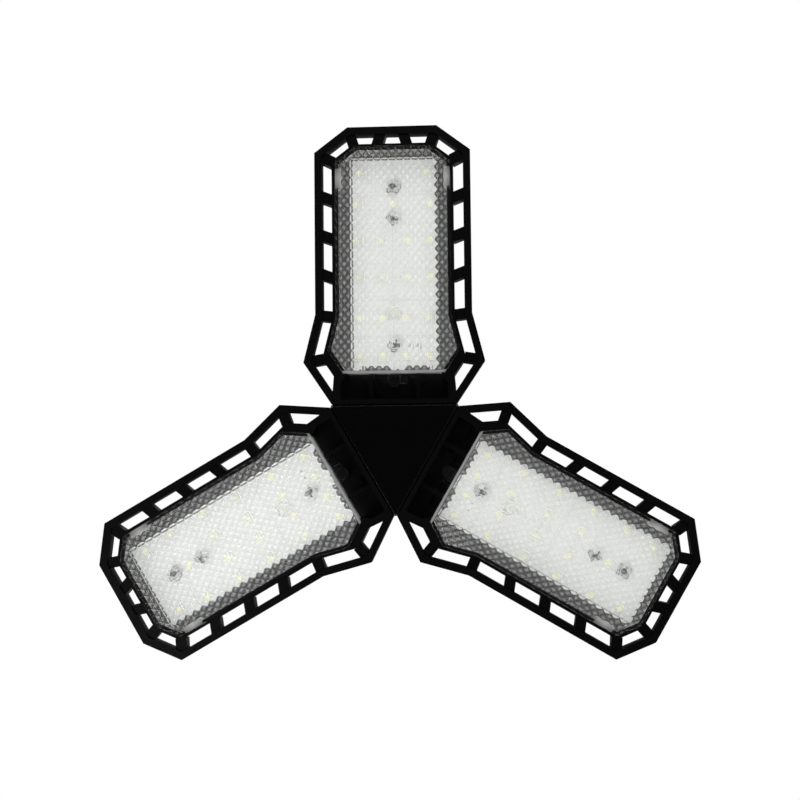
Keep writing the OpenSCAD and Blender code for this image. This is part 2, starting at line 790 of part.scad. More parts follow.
module driver_screws() {
    color("#8b8e93") for (place = post_places)
        translate([place[0], driver_face, front_z + place[1]]) rotate([90, 0, 0])
            pan_screw(2, 1.4, driver_screw_r, driver_t + 3);
}

module transformer() {
    foot = [18, 1.6, 14];
    core = [16, 12, 8];
    winding_r = 6.2;
    color("#3a3733") on_driver(0, transformer_up) {
        translate([-foot[0] / 2, 0, 0]) cube(foot);
        translate([-core[0] / 2, foot[1] - EPS, (foot[2] - core[2]) / 2]) cube(core);
    }
    color("#c9a227") on_driver(0, transformer_up)
        translate([0, foot[1] + core[1] / 2, 0.4]) cylinder(r = winding_r, h = foot[2] - 0.8);
}

module bulk_capacitors() {
    can_r = 4;
    can_h = 12;
    bead_r = 0.5;
    color("#23303f") for (right = capacitor_rights) on_driver(right, capacitor_up)
        rotate([-90, 0, 0]) difference() {
            cylinder(r = can_r, h = can_h);
            translate([0, 0, 1.2]) rotate_extrude()
                translate([can_r + bead_r / 2, 0]) circle(r = bead_r, $fn = 16);
        }
}

module filter_choke() {
    flange = [4, 1];    // radius and thickness
    drum = [3, 7];      // radius and height
    color("#8a4b22") on_driver(choke_place[0], choke_place[1]) rotate([-90, 0, 0]) {
        cylinder(r = flange[0], h = flange[1]);
        cylinder(r = drum[0], h = drum[1]);
        translate([0, 0, drum[1] - flange[1]]) cylinder(r = flange[0], h = flange[1]);
    }
}

module rectifier() {
    color("#1d1d1f") on_driver(rectifier_place[0], rectifier_place[1]) cube(rectifier_size);
}

module driver_chips() {
    color("#202024") for (place = chip_places) on_driver(place[0], place[1]) cube(chip_size);
}

module fusible_resistor() {
    body = [1.7, 9];    // radius and length
    leg_r = 0.4;
    color("#7d8f6a") on_driver(resistor_place[0], resistor_place[1]) translate([0, body[0], 0]) {
        cylinder(r = body[0], h = body[1]);
        for (up = [1, body[1] - 1])
            translate([0, -body[0], up]) rotate([-90, 0, 0]) cylinder(r = leg_r, h = body[0]);
    }
}

module output_sockets() {
    shell = [5.4, 5, 4.5];
    wall = 0.8;
    color("#e6e3da") for (right = socket_rights) on_driver(right, 0.5) difference() {
        cube(shell);
        translate([wall, wall, -1])
            cube([shell[0] - 2 * wall, shell[1] - 2 * wall, shell[2] - wall + 0.3]);
    }
}

// A point on the smooth curve that four points steer
function curve(p, t) = (1 - t) ^ 3 * p[0] + 3 * t * (1 - t) ^ 2 * p[1]
    + 3 * t ^ 2 * (1 - t) * p[2] + t ^ 3 * p[3];
function curve_dir(p, t) = unit(3 * (1 - t) ^ 2 * (p[1] - p[0])
    + 6 * t * (1 - t) * (p[2] - p[1]) + 3 * t ^ 2 * (p[3] - p[2]));

// A round wire along the curve
module wire(p, d) {
    steps = 16;
    sides = 8;
    side_ref = unit([1, 1, 0.3]);
    points = [for (i = [0:steps])
        let (dir = curve_dir(p, i / steps), a = unit(cross(dir, side_ref)), b = cross(dir, a))
        for (k = [0:sides - 1])
            curve(p, i / steps) + d / 2 * (a * cos(k * 360 / sides) + b * sin(k * 360 / sides))];
    last = steps * sides;
    polyhedron(points, concat([[for (k = [0:sides - 1]) k]],
        [for (i = [0:steps - 1], k = [0:sides - 1])
            let (a = i * sides + k, b = i * sides + (k + 1) % sides)
            [a, a + sides, b + sides, b]],
        [[for (k = [sides - 1:-1:0]) last + k]]));
}

module live_lead() {
    solder = [8, driver_face, front_z + driver_low + driver_h - 3.5];
    color("#7a2a24") wire([solder, solder + [0, 12, 0], [0, 0, -collar_h], [0, 0, contact_z]], feed_d);
}

module neutral_lead() {
    solder = [-12, driver_face, front_z + driver_low + driver_h - 2.5];
    wall = -(shell_r - 2 * shell_t) + 0.6;
    color("#d8d8d8") wire([solder, solder + [0, 12, 0], [6, 2, 1], [wall, 0, -2.5]], feed_d);
}

// ---- The pieces ---------------------------------------------------------------------

hub_housing();
hub_cover();
collar();
collar_screws();
screw_shell();
base_insulator();
centre_contact();
lead_bushes();
driver_board();
driver_screws();
transformer();
bulk_capacitors();
filter_choke();
rectifier();
driver_chips();
fusible_resistor();
output_sockets();
live_lead();
neutral_lead();
for (i = [0:len(LEAVES) - 1]) {
    leaf = LEAVES[i];
    at_leaf(i) leaf_frame();
    at_leaf(i) leaf_lens();
    at_leaf(i) led_board();
    at_leaf(i) leds();
    at_leaf(i) board_screws();
    at_leaf(i) lead_plug();
    at_leaf(i) leaf_leads();
    at_leaf(i) hinge_bolt();
    at_leaf(i) hinge_nut();
    at_leaf(i) hinge_washers();
}
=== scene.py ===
# %% [markdown]
# # A folding three-leaf garage light
# The light screws into a lamp socket and hangs with its LEDs facing down. This notebook dresses the
# engineering model: the exact parts come in as a fixed frame, and every cell adds a finish or a
# finer mesh on top of one of them. All lengths are metres here, so `MM` turns millimetres into
# metres.

# %% Load the frame
import bpy
import math
from mathutils import Euler, Matrix, Vector


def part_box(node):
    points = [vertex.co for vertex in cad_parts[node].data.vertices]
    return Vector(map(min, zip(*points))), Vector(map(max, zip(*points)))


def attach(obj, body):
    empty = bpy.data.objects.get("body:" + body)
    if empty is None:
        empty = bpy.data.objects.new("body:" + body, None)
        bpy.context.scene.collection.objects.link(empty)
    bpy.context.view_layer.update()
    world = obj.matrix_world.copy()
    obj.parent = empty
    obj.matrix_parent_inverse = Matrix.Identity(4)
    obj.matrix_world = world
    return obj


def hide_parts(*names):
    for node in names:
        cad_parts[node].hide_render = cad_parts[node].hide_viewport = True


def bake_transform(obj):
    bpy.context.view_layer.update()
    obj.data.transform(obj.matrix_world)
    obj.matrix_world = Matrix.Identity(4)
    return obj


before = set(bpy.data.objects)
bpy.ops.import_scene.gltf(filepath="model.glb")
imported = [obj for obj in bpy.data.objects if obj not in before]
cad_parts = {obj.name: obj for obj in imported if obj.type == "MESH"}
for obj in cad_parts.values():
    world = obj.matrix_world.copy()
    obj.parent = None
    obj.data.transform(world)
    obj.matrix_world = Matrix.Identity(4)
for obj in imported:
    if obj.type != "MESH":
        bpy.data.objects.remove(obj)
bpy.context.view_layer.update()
MM = 0.001

# %% [markdown]
# ## Places on the light
# The three leaves are the same part, turned by a third of a circle. Everything on a leaf is
# modelled once, on leaf a, and copied round. A place on leaf a is written as on its drawing: along
# the leaf from the hub's face, across it, and up from its lower face, where the light comes out.

# %% Leaf places
LEAF_TURNS = {"a": 0, "b": -120, "c": 120}
front_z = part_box("hub_cover")[0].z
hub_face = -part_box("hub_cover")[0].y


def on_leaf(along, across, up):
    """A point of leaf a, given in millimetres, in the frame."""
    return Vector((across * MM, -hub_face - along * MM, front_z + up * MM))


print("hub face at", round(hub_face / MM, 2), "mm, lower face at", round(front_z / MM, 2), "mm")

# %% [markdown]
# ## The camera
# The photograph looks almost straight up at the shining side. The light stands a few degrees askew
# to the lens, so its upper leaf looks a little longer than it would from dead centre. The camera's
# distance, those angles and the lens come from the outline of the three leaves in the photograph.

# %% Camera
CAMERA_DISTANCE = 540 * MM
CAMERA_LENS = 57.9    # focal length in mm, on the camera's standard sensor
LIGHT_ASKEW = Euler([math.radians(a) for a in (-3.27, -3.54, 0.78)])
LIGHT_OFF_CENTRE = Vector((-2.27, -17.64, 0)) * MM

face_up = Matrix.Diagonal((1, -1, -1))
to_light = LIGHT_ASKEW.to_matrix().transposed()
eye = face_up @ to_light @ (Vector((0, 0, CAMERA_DISTANCE)) - LIGHT_OFF_CENTRE)
turn = (face_up @ to_light).to_4x4()
camera = bpy.data.objects.new("camera", bpy.data.cameras.new("camera"))
bpy.context.scene.collection.objects.link(camera)
camera.matrix_world = Matrix.Translation(eye + Vector((0, 0, front_z))) @ turn
camera.data.lens = CAMERA_LENS
camera.data.clip_start = 0.01
bpy.context.scene.camera = camera
print("camera at", [round(c / MM, 1) for c in camera.matrix_world.translation], "mm")

# %% [markdown]
# ## Shader sums
# A procedural finish is mostly arithmetic on textures, and a graph of Math nodes is hard to read.
# The small class below wraps one socket, so that a sum written in Python adds its own Math nodes.
# Any other node comes from one method, which sets the node up first and then fills its sockets.

# %% Shader helper
class Value:
    """One output of a node, which can be written in a sum."""

    def __init__(self, finish, socket):
        self.finish = finish
        self.socket = socket

    def maths(self, operation, first, second=0.0, clamp=False):
        settings = {"operation": operation, "use_clamp": clamp}
        return self.finish.node("ShaderNodeMath", settings, {0: first, 1: second})

    def __add__(self, other):
        return self.maths("ADD", self, other)

    def __sub__(self, other):
        return self.maths("SUBTRACT", self, other)

    def __rsub__(self, other):
        return self.maths("SUBTRACT", other, self)

    def __mul__(self, other):
        return self.maths("MULTIPLY", self, other)

    def __truediv__(self, other):
        return self.maths("DIVIDE", self, other)

    def __abs__(self):
        return self.maths("ABSOLUTE", self)

    def __lt__(self, other):
        return self.maths("LESS_THAN", self, other)

    def __gt__(self, other):
        return self.maths("GREATER_THAN", self, other)

    def most(self, other):
        return self.maths("MAXIMUM", self, other)

    def clipped(self):
        return self.maths("ADD", self, 0.0, clamp=True)

    def wave(self, period):
        """Goes from 0 to 1 and back once in each period."""
        return self.maths("PINGPONG", self, period / 2) / (period / 2)

    __radd__ = __add__
    __rmul__ = __mul__


class Finish:
    """A material whose nodes are written as sums and calls."""

    def __init__(self, name, owner=None):
        self.owner = owner or bpy.data.materials.new(name)
        self.owner.use_nodes = True
        self.tree = self.owner.node_tree
        self.tree.nodes.clear()

    def node(self, kind, settings=None, sockets=None, output=0):
        """Adds a node, sets it up, fills its sockets and gives one of its outputs."""
        made = self.tree.nodes.new(kind)
        for name, setting in (settings or {}).items():
            if name == "stops":
                ramp = made.color_ramp.elements
                while len(ramp) < len(setting):
                    ramp.new(0.5)
                for element, (position, colour) in zip(ramp, setting):
                    element.position = position
                    element.color = (*colour, 1)
            else:
                setattr(made, name, setting)
        for name, given in (sockets or {}).items():
            if isinstance(given, Value):
                self.tree.links.new(given.socket, made.inputs[name])
            else:
                made.inputs[name].default_value = given
        return Value(self, made.outputs[output]) if len(made.outputs) else None

    def place(self):
        """Where the surface is on the object, in millimetres."""
        point = self.node("ShaderNodeTexCoord", output="Object")
        scaled = {"operation": "SCALE"}
        return self.node("ShaderNodeVectorMath", scaled, {0: point, "Scale": 1 / MM})

    def noise(self, size, detail=2.0, roughness=0.5):
        """Soft noise, about 0.5 on average, whose blobs are this many millimetres."""
        sockets = {"Vector": self.place(), "Scale": 1 / size, "Detail": detail,
                   "Roughness": roughness}
        return self.node("ShaderNodeTexNoise", None, sockets)

    def blend(self, factor, first, second):
        """Mixes two colours, each a tuple or a Value."""
        colours = {6: first if isinstance(first, Value) else (*first, 1),
                   7: second if isinstance(second, Value) else (*second, 1)}
        return self.node("ShaderNodeMix", {"data_type": "RGBA"}, {0: factor, **colours}, output=2)

    def bump(self, height, depth, strength=1.0):
        """Turns a height from 0 to 1 into a relief this many millimetres deep."""
        sockets = {"Height": height, "Distance": depth * MM, "Strength": strength}
        return self.node("ShaderNodeBump", None, sockets)

    def principled(self, colour, roughness, **others):
        """The main shader. Others are written with _ for a blank, such as Coat_Weight."""
        sockets = {"Base Color": colour if isinstance(colour, Value) else (*colour, 1),
                   "Roughness": roughness}
        for name, given in others.items():
            sockets[name.replace("_", " ")] = given
        return self.node("ShaderNodeBsdfPrincipled", None, sockets)

    def done(self, shader):
        """Connects the shader and gives the finished material."""
        self.node("ShaderNodeOutputMaterial", None, {"Surface": shader})
        return self.owner


# %% [markdown]
# ## Studio
# The photograph has a plain white ground and no shadow near the light, because the light is lit
# softly from the camera's side. A white sky that only the camera, gloss and glass can see gives that
# ground without adding light to the part. In gloss, that sky is white near the horizon and above, so
# that each rounded edge draws a thin line. Below, on the camera's side, it darkens to a dark room,
# which keeps the black deep, and a black flag straight above keeps the walls of the rim's windows
# from mirroring the white. A pale floor under the light catches its shadow in the views from above.
# It fades into the white further out, and it is clear from below, where the camera stands.

# %% World
ROOM_LIGHT = 0.33     # strength of the light that falls on the part from all round
ROOM_DARK = 0.008     # strength of what gloss mirrors from straight below
HORIZON = 0.9         # strength of what gloss mirrors at the horizon
HORIZON_FADE = 2.5    # how fast it changes with height, as the sine of the elevation
FLAG_FROM = 0.86      # height at which the flag begins
FLAG_FADE = 12        # how sharp its edge is
world = bpy.data.worlds.new("studio")
bpy.context.scene.world = world
sky = Finish("studio", world)
ray = {name: sky.node("ShaderNodeLightPath", output=f"Is {name} Ray")
       for name in ("Camera", "Glossy", "Transmission")}
direction = sky.node("ShaderNodeTexCoord", output="Generated")
height = sky.node("ShaderNodeSeparateXYZ", None, {"Vector": direction}, output="Z")
flag = ((height - FLAG_FROM) * FLAG_FADE).clipped()
above = (height * HORIZON_FADE + HORIZON).clipped() * (1 - flag)
seen = ray["Camera"].most(ray["Transmission"])
mirrored = ray["Glossy"] * (above * (1 - ROOM_DARK) + ROOM_DARK)
strength = seen.most(mirrored).most((1 - seen.most(ray["Glossy"])) * ROOM_LIGHT)
background = sky.node("ShaderNodeBackground", None, {"Color": (1, 1, 1, 1), "Strength": strength})
sky.node("ShaderNodeOutputWorld", None, {"Surface": background})


# %% Lamps
LIGHT_FACE = (0, 0, front_z)
SCREW_BASE = (0, 0, 0)


def lamp(name, place, aim, size, power, tall=None):
    """A soft box at a place in metres, aimed at a point, with its power in watts."""
    light = bpy.data.lights.new(name, "AREA")
    light.shape = "RECTANGLE"
    light.size = size
    light.size_y = tall or size
    light.energy = power
    box = bpy.data.objects.new(name, light)
    bpy.context.scene.collection.objects.link(box)
    towards = Vector(aim) - Vector(place)
    box.matrix_world = (Matrix.Translation(place)
                        @ towards.to_track_quat("-Z", "Y").to_matrix().to_4x4())
    return box


lamp("left_softbox", (-0.385, 0.46, -0.42), LIGHT_FACE, 0.5, 2.25)
lamp("right_softbox", (0.7, -0.2, -0.62), LIGHT_FACE, 0.5, 0.8)
lamp("top_softbox", (0.05, -0.75, -0.5), LIGHT_FACE, 0.6, 1.7, tall=0.3)
lamp("overhead", (0.8, -0.75, 0.75), SCREW_BASE, 0.6, 7)
lamp("overhead_fill", (-0.85, 0.65, 0.5), SCREW_BASE, 0.6, 2.2)

# %% Floor
FLOOR_GAP = 60 * MM
FLOOR_SIZE = 6
FLOOR_COLOUR = (0.8, 0.8, 0.8)
FLOOR_TO = 1.9        # metres from the middle at which the floor has faded away
bpy.ops.object.select_all(action="DESELECT")
bpy.ops.mesh.primitive_plane_add(size=FLOOR_SIZE, location=(0, 0, front_z - FLOOR_GAP))
floor = bpy.context.object
floor.name = "floor"
look = Finish("floor_paint")
mottle = look.noise(90, detail=3)
paint = look.principled(FLOOR_COLOUR, mottle * 0.1 + 0.8)
from_middle = look.node("ShaderNodeVectorMath", {"operation": "LENGTH"}, {0: look.place()},
                        output="Value")
shown = (look.node("ShaderNodeLightPath", output="Is Camera Ray")
         * (1 - look.node("ShaderNodeNewGeometry", output="Backfacing"))
         * (FLOOR_TO - from_middle * MM).clipped())
clear = look.node("ShaderNodeBsdfTransparent")
floor.data.materials.append(look.done(
    look.node("ShaderNodeMixShader", None, {0: shown, 1: clear, 2: paint})))

# %% [markdown]
# ## Black finishes
# Three blacks meet on this light. The leaves are die-cast and painted semi-gloss, which leaves a
# fine orange peel. The housing and the collar are moulded with a satin spark-eroded grain. The cover
# is polished black plastic with a few hair scratches. Each is nearly black in colour, so their gloss
# and relief make all the difference.

# %% Black finishes
HAIR_WIDTH = 0.0016   # how near its middle value the noise has to be to draw a scratch


def mottled(name, dark, light, cloud, grain, rough, spread, relief, **others):
    """A colour that drifts over clouds, with gloss and relief of a finer grain, all in mm."""
    look = Finish(name)
    fine = look.noise(grain, detail=4, roughness=0.65)
    colour = look.blend(look.noise(cloud), dark, light)
    return look.done(look.principled(colour, fine * spread + rough,
                                     Normal=look.bump(fine, relief), **others))


def polished_black():
    """Polished black plastic with smears and a few hair scratches."""
    look = Finish("polished_black")
    hairs = look.node("ShaderNodeTexNoise", None,
                      {"Vector": look.place(), "Scale": 0.25, "Detail": 6, "Distortion": 1.5})
    smear = look.noise(9, detail=3)
    hair = abs(hairs - 0.5) < HAIR_WIDTH
    return look.done(look.principled((0.0018, 0.0018, 0.002), smear * 0.1 + 0.1 + hair * 0.25,
                                     Normal=look.bump(smear, 0.02), Coat_Weight=0.4,
                                     Coat_Roughness=0.06))


CAST_PAINT = mottled("cast_paint", (0.001, 0.001, 0.0011), (0.0022, 0.0022, 0.0023), 14, 0.9,
                     0.26, 0.14, 0.03, Specular_IOR_Level=0.45)
MOULDED_BLACK = mottled("moulded_black", (0.004, 0.004, 0.0045), (0.0075, 0.0075, 0.008), 20,
                        0.35, 0.36, 0.2, 0.03)
POLISHED_BLACK = polished_black()

# %% [markdown]
# ## Rounded copies
# No real casting or moulding has knife edges. A thin line of light runs along each edge, and that
# line is most of what shows of the black parts in the photograph. The exact node itself stays as it
# is, so a copy of its mesh is merged, its flat faces are joined up again, and a Bevel modifier
# rounds it.

# %% Rounded copies
SMOOTH_BELOW = math.radians(35)   # edges that bend less than this are shaded smooth


def only(piece):
    """Makes a piece the only one that is selected, and the active one."""
    bpy.ops.object.select_all(action="DESELECT")
    piece.select_set(True)
    bpy.context.view_layer.objects.active = piece


def apply_modifier(piece, name, kind, **settings):
    """Adds a modifier to a piece and applies it."""
    made = piece.modifiers.new(name, kind)
    for key, setting in settings.items():
        setattr(made, key, setting)
    only(piece)
    bpy.ops.object.modifier_apply(modifier=made.name)


def cad_copy(node, name):
    """A merged copy of a node's mesh, with its flat faces joined up."""
    piece = bpy.data.objects.new(name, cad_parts[node].data.copy())
    bpy.context.scene.collection.objects.link(piece)
    only(piece)
    bpy.ops.object.mode_set(mode="EDIT")
    bpy.ops.mesh.select_all(action="SELECT")
    bpy.ops.mesh.remove_doubles(threshold=0.002 * MM)
    bpy.ops.mesh.dissolve_limited(angle_limit=math.radians(0.5), use_dissolve_boundaries=False)
    bpy.ops.object.mode_set(mode="OBJECT")
    return piece


def soften(piece, width):
    """Rounds a piece's edges, width in millimetres, and smooths its curved faces."""
    apply_modifier(piece, "rounding", "BEVEL", width=width * MM, segments=2,
                   limit_method="ANGLE", angle_limit=math.radians(25))
    bpy.ops.object.shade_smooth_by_angle(angle=SMOOTH_BELOW)
    apply_modifier(piece, "flat_faces", "WEIGHTED_NORMAL", keep_sharp=True, weight=80)


def finish_with(piece, *materials):
    """Gives a piece its materials, in the order of its material slots."""
    piece.data.materials.clear()
    for material in materials:
        piece.data.materials.append(material)


def fit(piece, body, node, bend=()):
    """Hangs a piece on its body, or, with bend points, leaves it on no body; hides the node."""
    if bend:
        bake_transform(piece)
    else:
        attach(piece, body)
    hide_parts(node)


def own_copy(piece, change):
    """A copy of a piece with its own mesh, moved or turned by a matrix."""
    copy = piece.copy()
    copy.data = piece.data.copy()
    copy.data.transform(change)
    bpy.context.scene.collection.objects.link(copy)
    return copy


def fit_round(piece, stem, bend=()):
    """Copies a piece of leaf a to all three leaves. The piece itself becomes leaf a's."""
    turns = {leaf: Matrix.Rotation(math.radians(degrees), 4, "Z")
             for leaf, degrees in LEAF_TURNS.items()}
    pieces = {leaf: piece if leaf == "a" else own_copy(piece, turn)
              for leaf, turn in turns.items()}
    for leaf, turned in pieces.items():
        turned.name = f"{stem}_piece_{leaf}"
        turned.data.name = turned.name
        fit(turned, f"leaf_{leaf}", f"{stem}_{leaf}",
            bend=[turns[leaf] @ point for point in bend])


# %% Leaf frames
leaf_frame = cad_copy("leaf_frame_a", "leaf_frame")
soften(leaf_frame, 0.3)
finish_with(leaf_frame, CAST_PAINT)
fit_round(leaf_frame, "leaf_frame")
print("leaf frame:", len(leaf_frame.data.polygons), "faces")

# %% [markdown]
# ## The prismatic lens
# The clear cover spreads the light with a field of small pyramids on its inner side. They show as
# diamonds, and they make the board's edge look like a saw. Painted diamonds would not bend what lies
# behind them, so the pyramids are real: one is modelled, two Array modifiers repeat it, and the
# field is trimmed to the lens and joined to the merged copy of the exact cover.

# %% Prism field
LENS_BACK = 2.0           # level of the lens's inner side above the lower face, in mm
PRISM_ALONG = 3.9 * MM
PRISM_ACROSS = 3.2 * MM
PRISM_DEPTH = 0.27 * MM
FIELD_SUNK = 0.7 * MM     # how far the field's flat side reaches into the lens
FIELD_LAP = 0.4 * MM      # how far the field reaches into the lens's side walls


def inner_face(piece, up):
    """Index of the largest face that looks up from a level above the lower face, in mm."""
    level = front_z + up * MM
    flat = [face for face in piece.data.polygons
            if face.normal.z > 0.99 and abs(face.center.z - level) < 0.1 * MM]
    return max(flat, key=lambda face: face.area).index


def boolean(piece, tool, operation):
    """Combines a piece with a tool, which is then deleted."""
    apply_modifier(piece, operation.lower(), "BOOLEAN", operation=operation, object=tool,
                   solver="EXACT")
    bpy.data.objects.remove(tool)


def face_slab(piece, face, low, high, lap):
    """A slab over one face of a piece, from low to high, and lap wider all round."""
    slab = bpy.data.objects.new("slab", piece.data.copy())
    bpy.context.scene.collection.objects.link(slab)
    level = piece.data.polygons[face].center.z
    only(slab)
    bpy.ops.object.mode_set(mode="EDIT")
    bpy.ops.mesh.select_mode(type="FACE")
    bpy.ops.object.mode_set(mode="OBJECT")
    for other in slab.data.polygons:
        other.select = other.index != face
    bpy.ops.object.mode_set(mode="EDIT")
    bpy.ops.mesh.delete(type="FACE")
    bpy.ops.mesh.select_all(action="SELECT")
    bpy.ops.mesh.inset(thickness=lap, use_outset=True)
    bpy.ops.mesh.select_all(action="SELECT")
    bpy.ops.mesh.dissolve_limited(angle_limit=math.radians(1), use_dissolve_boundaries=False)
    bpy.ops.mesh.select_all(action="SELECT")
    bpy.ops.transform.translate(value=(0, 0, low - level))
    bpy.ops.mesh.extrude_region_move(TRANSFORM_OT_translate={"value": (0, 0, high - low)})
    bpy.ops.mesh.select_all(action="SELECT")
    bpy.ops.mesh.normals_make_consistent(inside=False)
    bpy.ops.object.mode_set(mode="OBJECT")
    return slab


def prism_field(low, high, level):
    """Pyramids on a diamond grid over a rectangle, closed by a flat side below."""
    start = ((low.x + high.x) / 2, low.y, level + PRISM_DEPTH / 2)
    rows = math.ceil((high.y - low.y) / PRISM_ALONG) + 2
    columns = math.ceil((high.x - low.x) / PRISM_ACROSS) + 3
    fields = []
    for shift in (0, 0.5):
        bpy.ops.object.select_all(action="DESELECT")
        bpy.ops.mesh.primitive_cone_add(vertices=4, radius1=1, depth=PRISM_DEPTH,
                                        end_fill_type="NOTHING")
        cell = bpy.context.object
        bpy.ops.object.mode_set(mode="EDIT")
        bpy.ops.transform.resize(value=(PRISM_ACROSS / 2, PRISM_ALONG / 2, 1))
        bpy.ops.transform.translate(value=(
            start[0] + (shift - columns // 2) * PRISM_ACROSS,
            start[1] + (shift - 1) * PRISM_ALONG, start[2]))
        bpy.ops.object.mode_set(mode="OBJECT")
        for name, count, step in (("across", columns, (PRISM_ACROSS, 0, 0)),
                                  ("along", rows, (0, PRISM_ALONG, 0))):
            apply_modifier(cell, name, "ARRAY", count=count, use_relative_offset=False,
                           use_constant_offset=True, constant_offset_displace=step)
        fields.append(cell)
    only(fields[0])
    fields[1].select_set(True)
    bpy.ops.object.join()
    field = bpy.context.object
    bpy.ops.object.mode_set(mode="EDIT")
    bpy.ops.mesh.select_all(action="SELECT")
    bpy.ops.mesh.remove_doubles(threshold=0.01 * MM)
    bpy.ops.mesh.extrude_region_move(TRANSFORM_OT_translate={"value": (0, 0, -FIELD_SUNK)})
    bpy.ops.transform.resize(value=(1, 1, 0), center_override=(0, 0, level - FIELD_SUNK))
    bpy.ops.mesh.select_all(action="SELECT")
    bpy.ops.mesh.normals_make_consistent(inside=False)
    bpy.ops.object.mode_set(mode="OBJECT")
    return field


lens = cad_copy("leaf_lens_a", "leaf_lens")
back_face = inner_face(lens, LENS_BACK)
corners = [lens.data.vertices[v].co for v in lens.data.polygons[back_face].vertices]
field_low, field_high = (Vector(map(side, zip(*corners))) for side in (min, max))
back_level = front_z + LENS_BACK * MM
trim = face_slab(lens, back_face, back_level - FIELD_SUNK / 2, back_level + 2 * PRISM_DEPTH,
                 FIELD_LAP)
field = prism_field(field_low, field_high, back_level)
boolean(field, trim, "INTERSECT")
boolean(lens, field, "UNION")
print("lens:", len(lens.data.polygons), "faces")

# %% [markdown]
# The polycarbonate is clear, but each pyramid's facets are a little hazy from the mould, and the
# sharp grooves between them stay clear and dark. So haze is mixed in by the cell that a point lies
# in. That pattern is drawn in a UV map that holds millimetres across and along the leaf. The wall at
# the hub and the thick roots of the snap hooks catch light from the board, and so they are hazier.
# The thin tongue beyond that wall bends hardly any light, so it is plain see-through plastic with a
# trace of haze.

# %% Clear finish
HAZE_CENTRE = 0.28
HAZE_GROOVE = 0.012
HAZE_HEEL = 0.52
HAZE_HOOK = 0.58
HAZE_TONGUE = 0.005
GROOVE_SHARE = 0.22   # how far from its groove a cell begins to be hazy, of the way to its centre
CELL_FADE = 1.7       # how fast the haze grows from there
FIELD_HAZE = 0.4      # how deep the haze goes below the lens's inner side
HEEL_AT = 13.15       # along the leaf to the lens's end wall
HEEL_BAND = 1.1
HOOK_AT = 96.5        # along the leaf to the middle of the snap hooks
HOOK_HALF = 4.3
HOOK_FROM = 21.9      # how far from the leaf's middle line the hooks begin


def plan_map(piece):
    """Gives a piece of leaf a a UV map of millimetres across and along the leaf."""
    layer = piece.data.uv_layers.new(name="plan")
    for corner in piece.data.loops:
        spot = piece.data.vertices[corner.vertex_index].co
        layer.data[corner.index].uv = (spot.x / MM, -(spot.y + hub_face) / MM)


def plan_of(look):
    """The two sockets of that map, across and along the leaf."""
    plan = look.node("ShaderNodeUVMap", {"uv_map": "plan"})
    return [look.node("ShaderNodeSeparateXYZ", None, {"Vector": plan}, output=axis)
            for axis in "XY"]


def clear_lens(first_row):
    """Clear plastic, hazy in each cell on its inner side, on its end wall and at its hooks."""
    look = Finish("clear_lens")
    across, along = plan_of(look)
    centred = abs(across.wave(PRISM_ACROSS / MM) + (along - first_row).wave(PRISM_ALONG / MM) - 1)
    up = look.node("ShaderNodeSeparateXYZ", None, {"Vector": look.place()}, output="Z")
    inside = up > front_z / MM + LENS_BACK - FIELD_HAZE
    cell = ((centred - GROOVE_SHARE) * CELL_FADE).clipped() * inside
    ripple = look.noise(1.6, detail=2)
    glass = look.principled((0.97, 0.972, 0.965), 0.03, Transmission_Weight=1.0, IOR=1.58,
                            Normal=look.bump(ripple, 0.004))
    passing = look.node("ShaderNodeLightPath", output="Is Shadow Ray")
    clear = look.node("ShaderNodeBsdfTransparent", None, {"Color": (0.94, 0.945, 0.94, 1)})
    hazy = look.principled((0.76, 0.77, 0.755), 0.5)
    field = cell * (along > HEEL_AT)
    heel = (along > HEEL_AT) * (along < HEEL_AT + HEEL_BAND) * HAZE_HEEL
    from_hook = abs(along - HOOK_AT)
    hook = ((from_hook < HOOK_HALF) * (abs(across) > HOOK_FROM)
            * (1 - from_hook / (2 * HOOK_HALF)) * HAZE_HOOK)
    haze = (field * (HAZE_CENTRE - HAZE_GROOVE) + HAZE_GROOVE).most(heel).most(hook)
    field_and_walls = look.node("ShaderNodeMixShader", None, {0: haze, 1: glass, 2: hazy})
    tongue = look.node("ShaderNodeMixShader", None, {0: HAZE_TONGUE, 1: clear, 2: hazy})
    body = look.node("ShaderNodeMixShader", None,
                     {0: along < HEEL_AT, 1: field_and_walls, 2: tongue})
    return look.done(look.node("ShaderNodeMixShader", None, {0: passing, 1: body, 2: clear}))


plan_map(lens)
finish_with(lens, clear_lens(-(field_low.y + hub_face) / MM))
fit_round(lens, "leaf_lens")

# %% [markdown]
# ## The LED boards
# Each board is an aluminium plate under a white solder mask. The copper under the mask is poured in
# wide fields with narrow gaps between them, and the mask sinks a little into the gaps, which shows
# as faint lines. Two small bare pads lie beside the screw next to the hub, and two dark strips run
# along the board's end there. All of these follow the board, and the three boards lie at different
# angles, so they are drawn in the board's own UV map, which holds millimetres across and along the
# leaf.

# %% LED boards
COPPER_GAP = 0.35
COPPER_ROWS = (29, 45.5, 62, 77.5, 91)
STRIP_DEEP = 1.3      # from the board's end
STRIP_OFF = 1.0       # of the pair's middle from the board's middle line
STRIP_MIDDLE = 9.0    # of each strip from the pair's middle
STRIP_HALF = 5.5      # half a strip's length
PADS_ALONG = 25.0
PADS_ACROSS = 8.3
PADS_APART = 3.4
PAD_HALF = 0.8


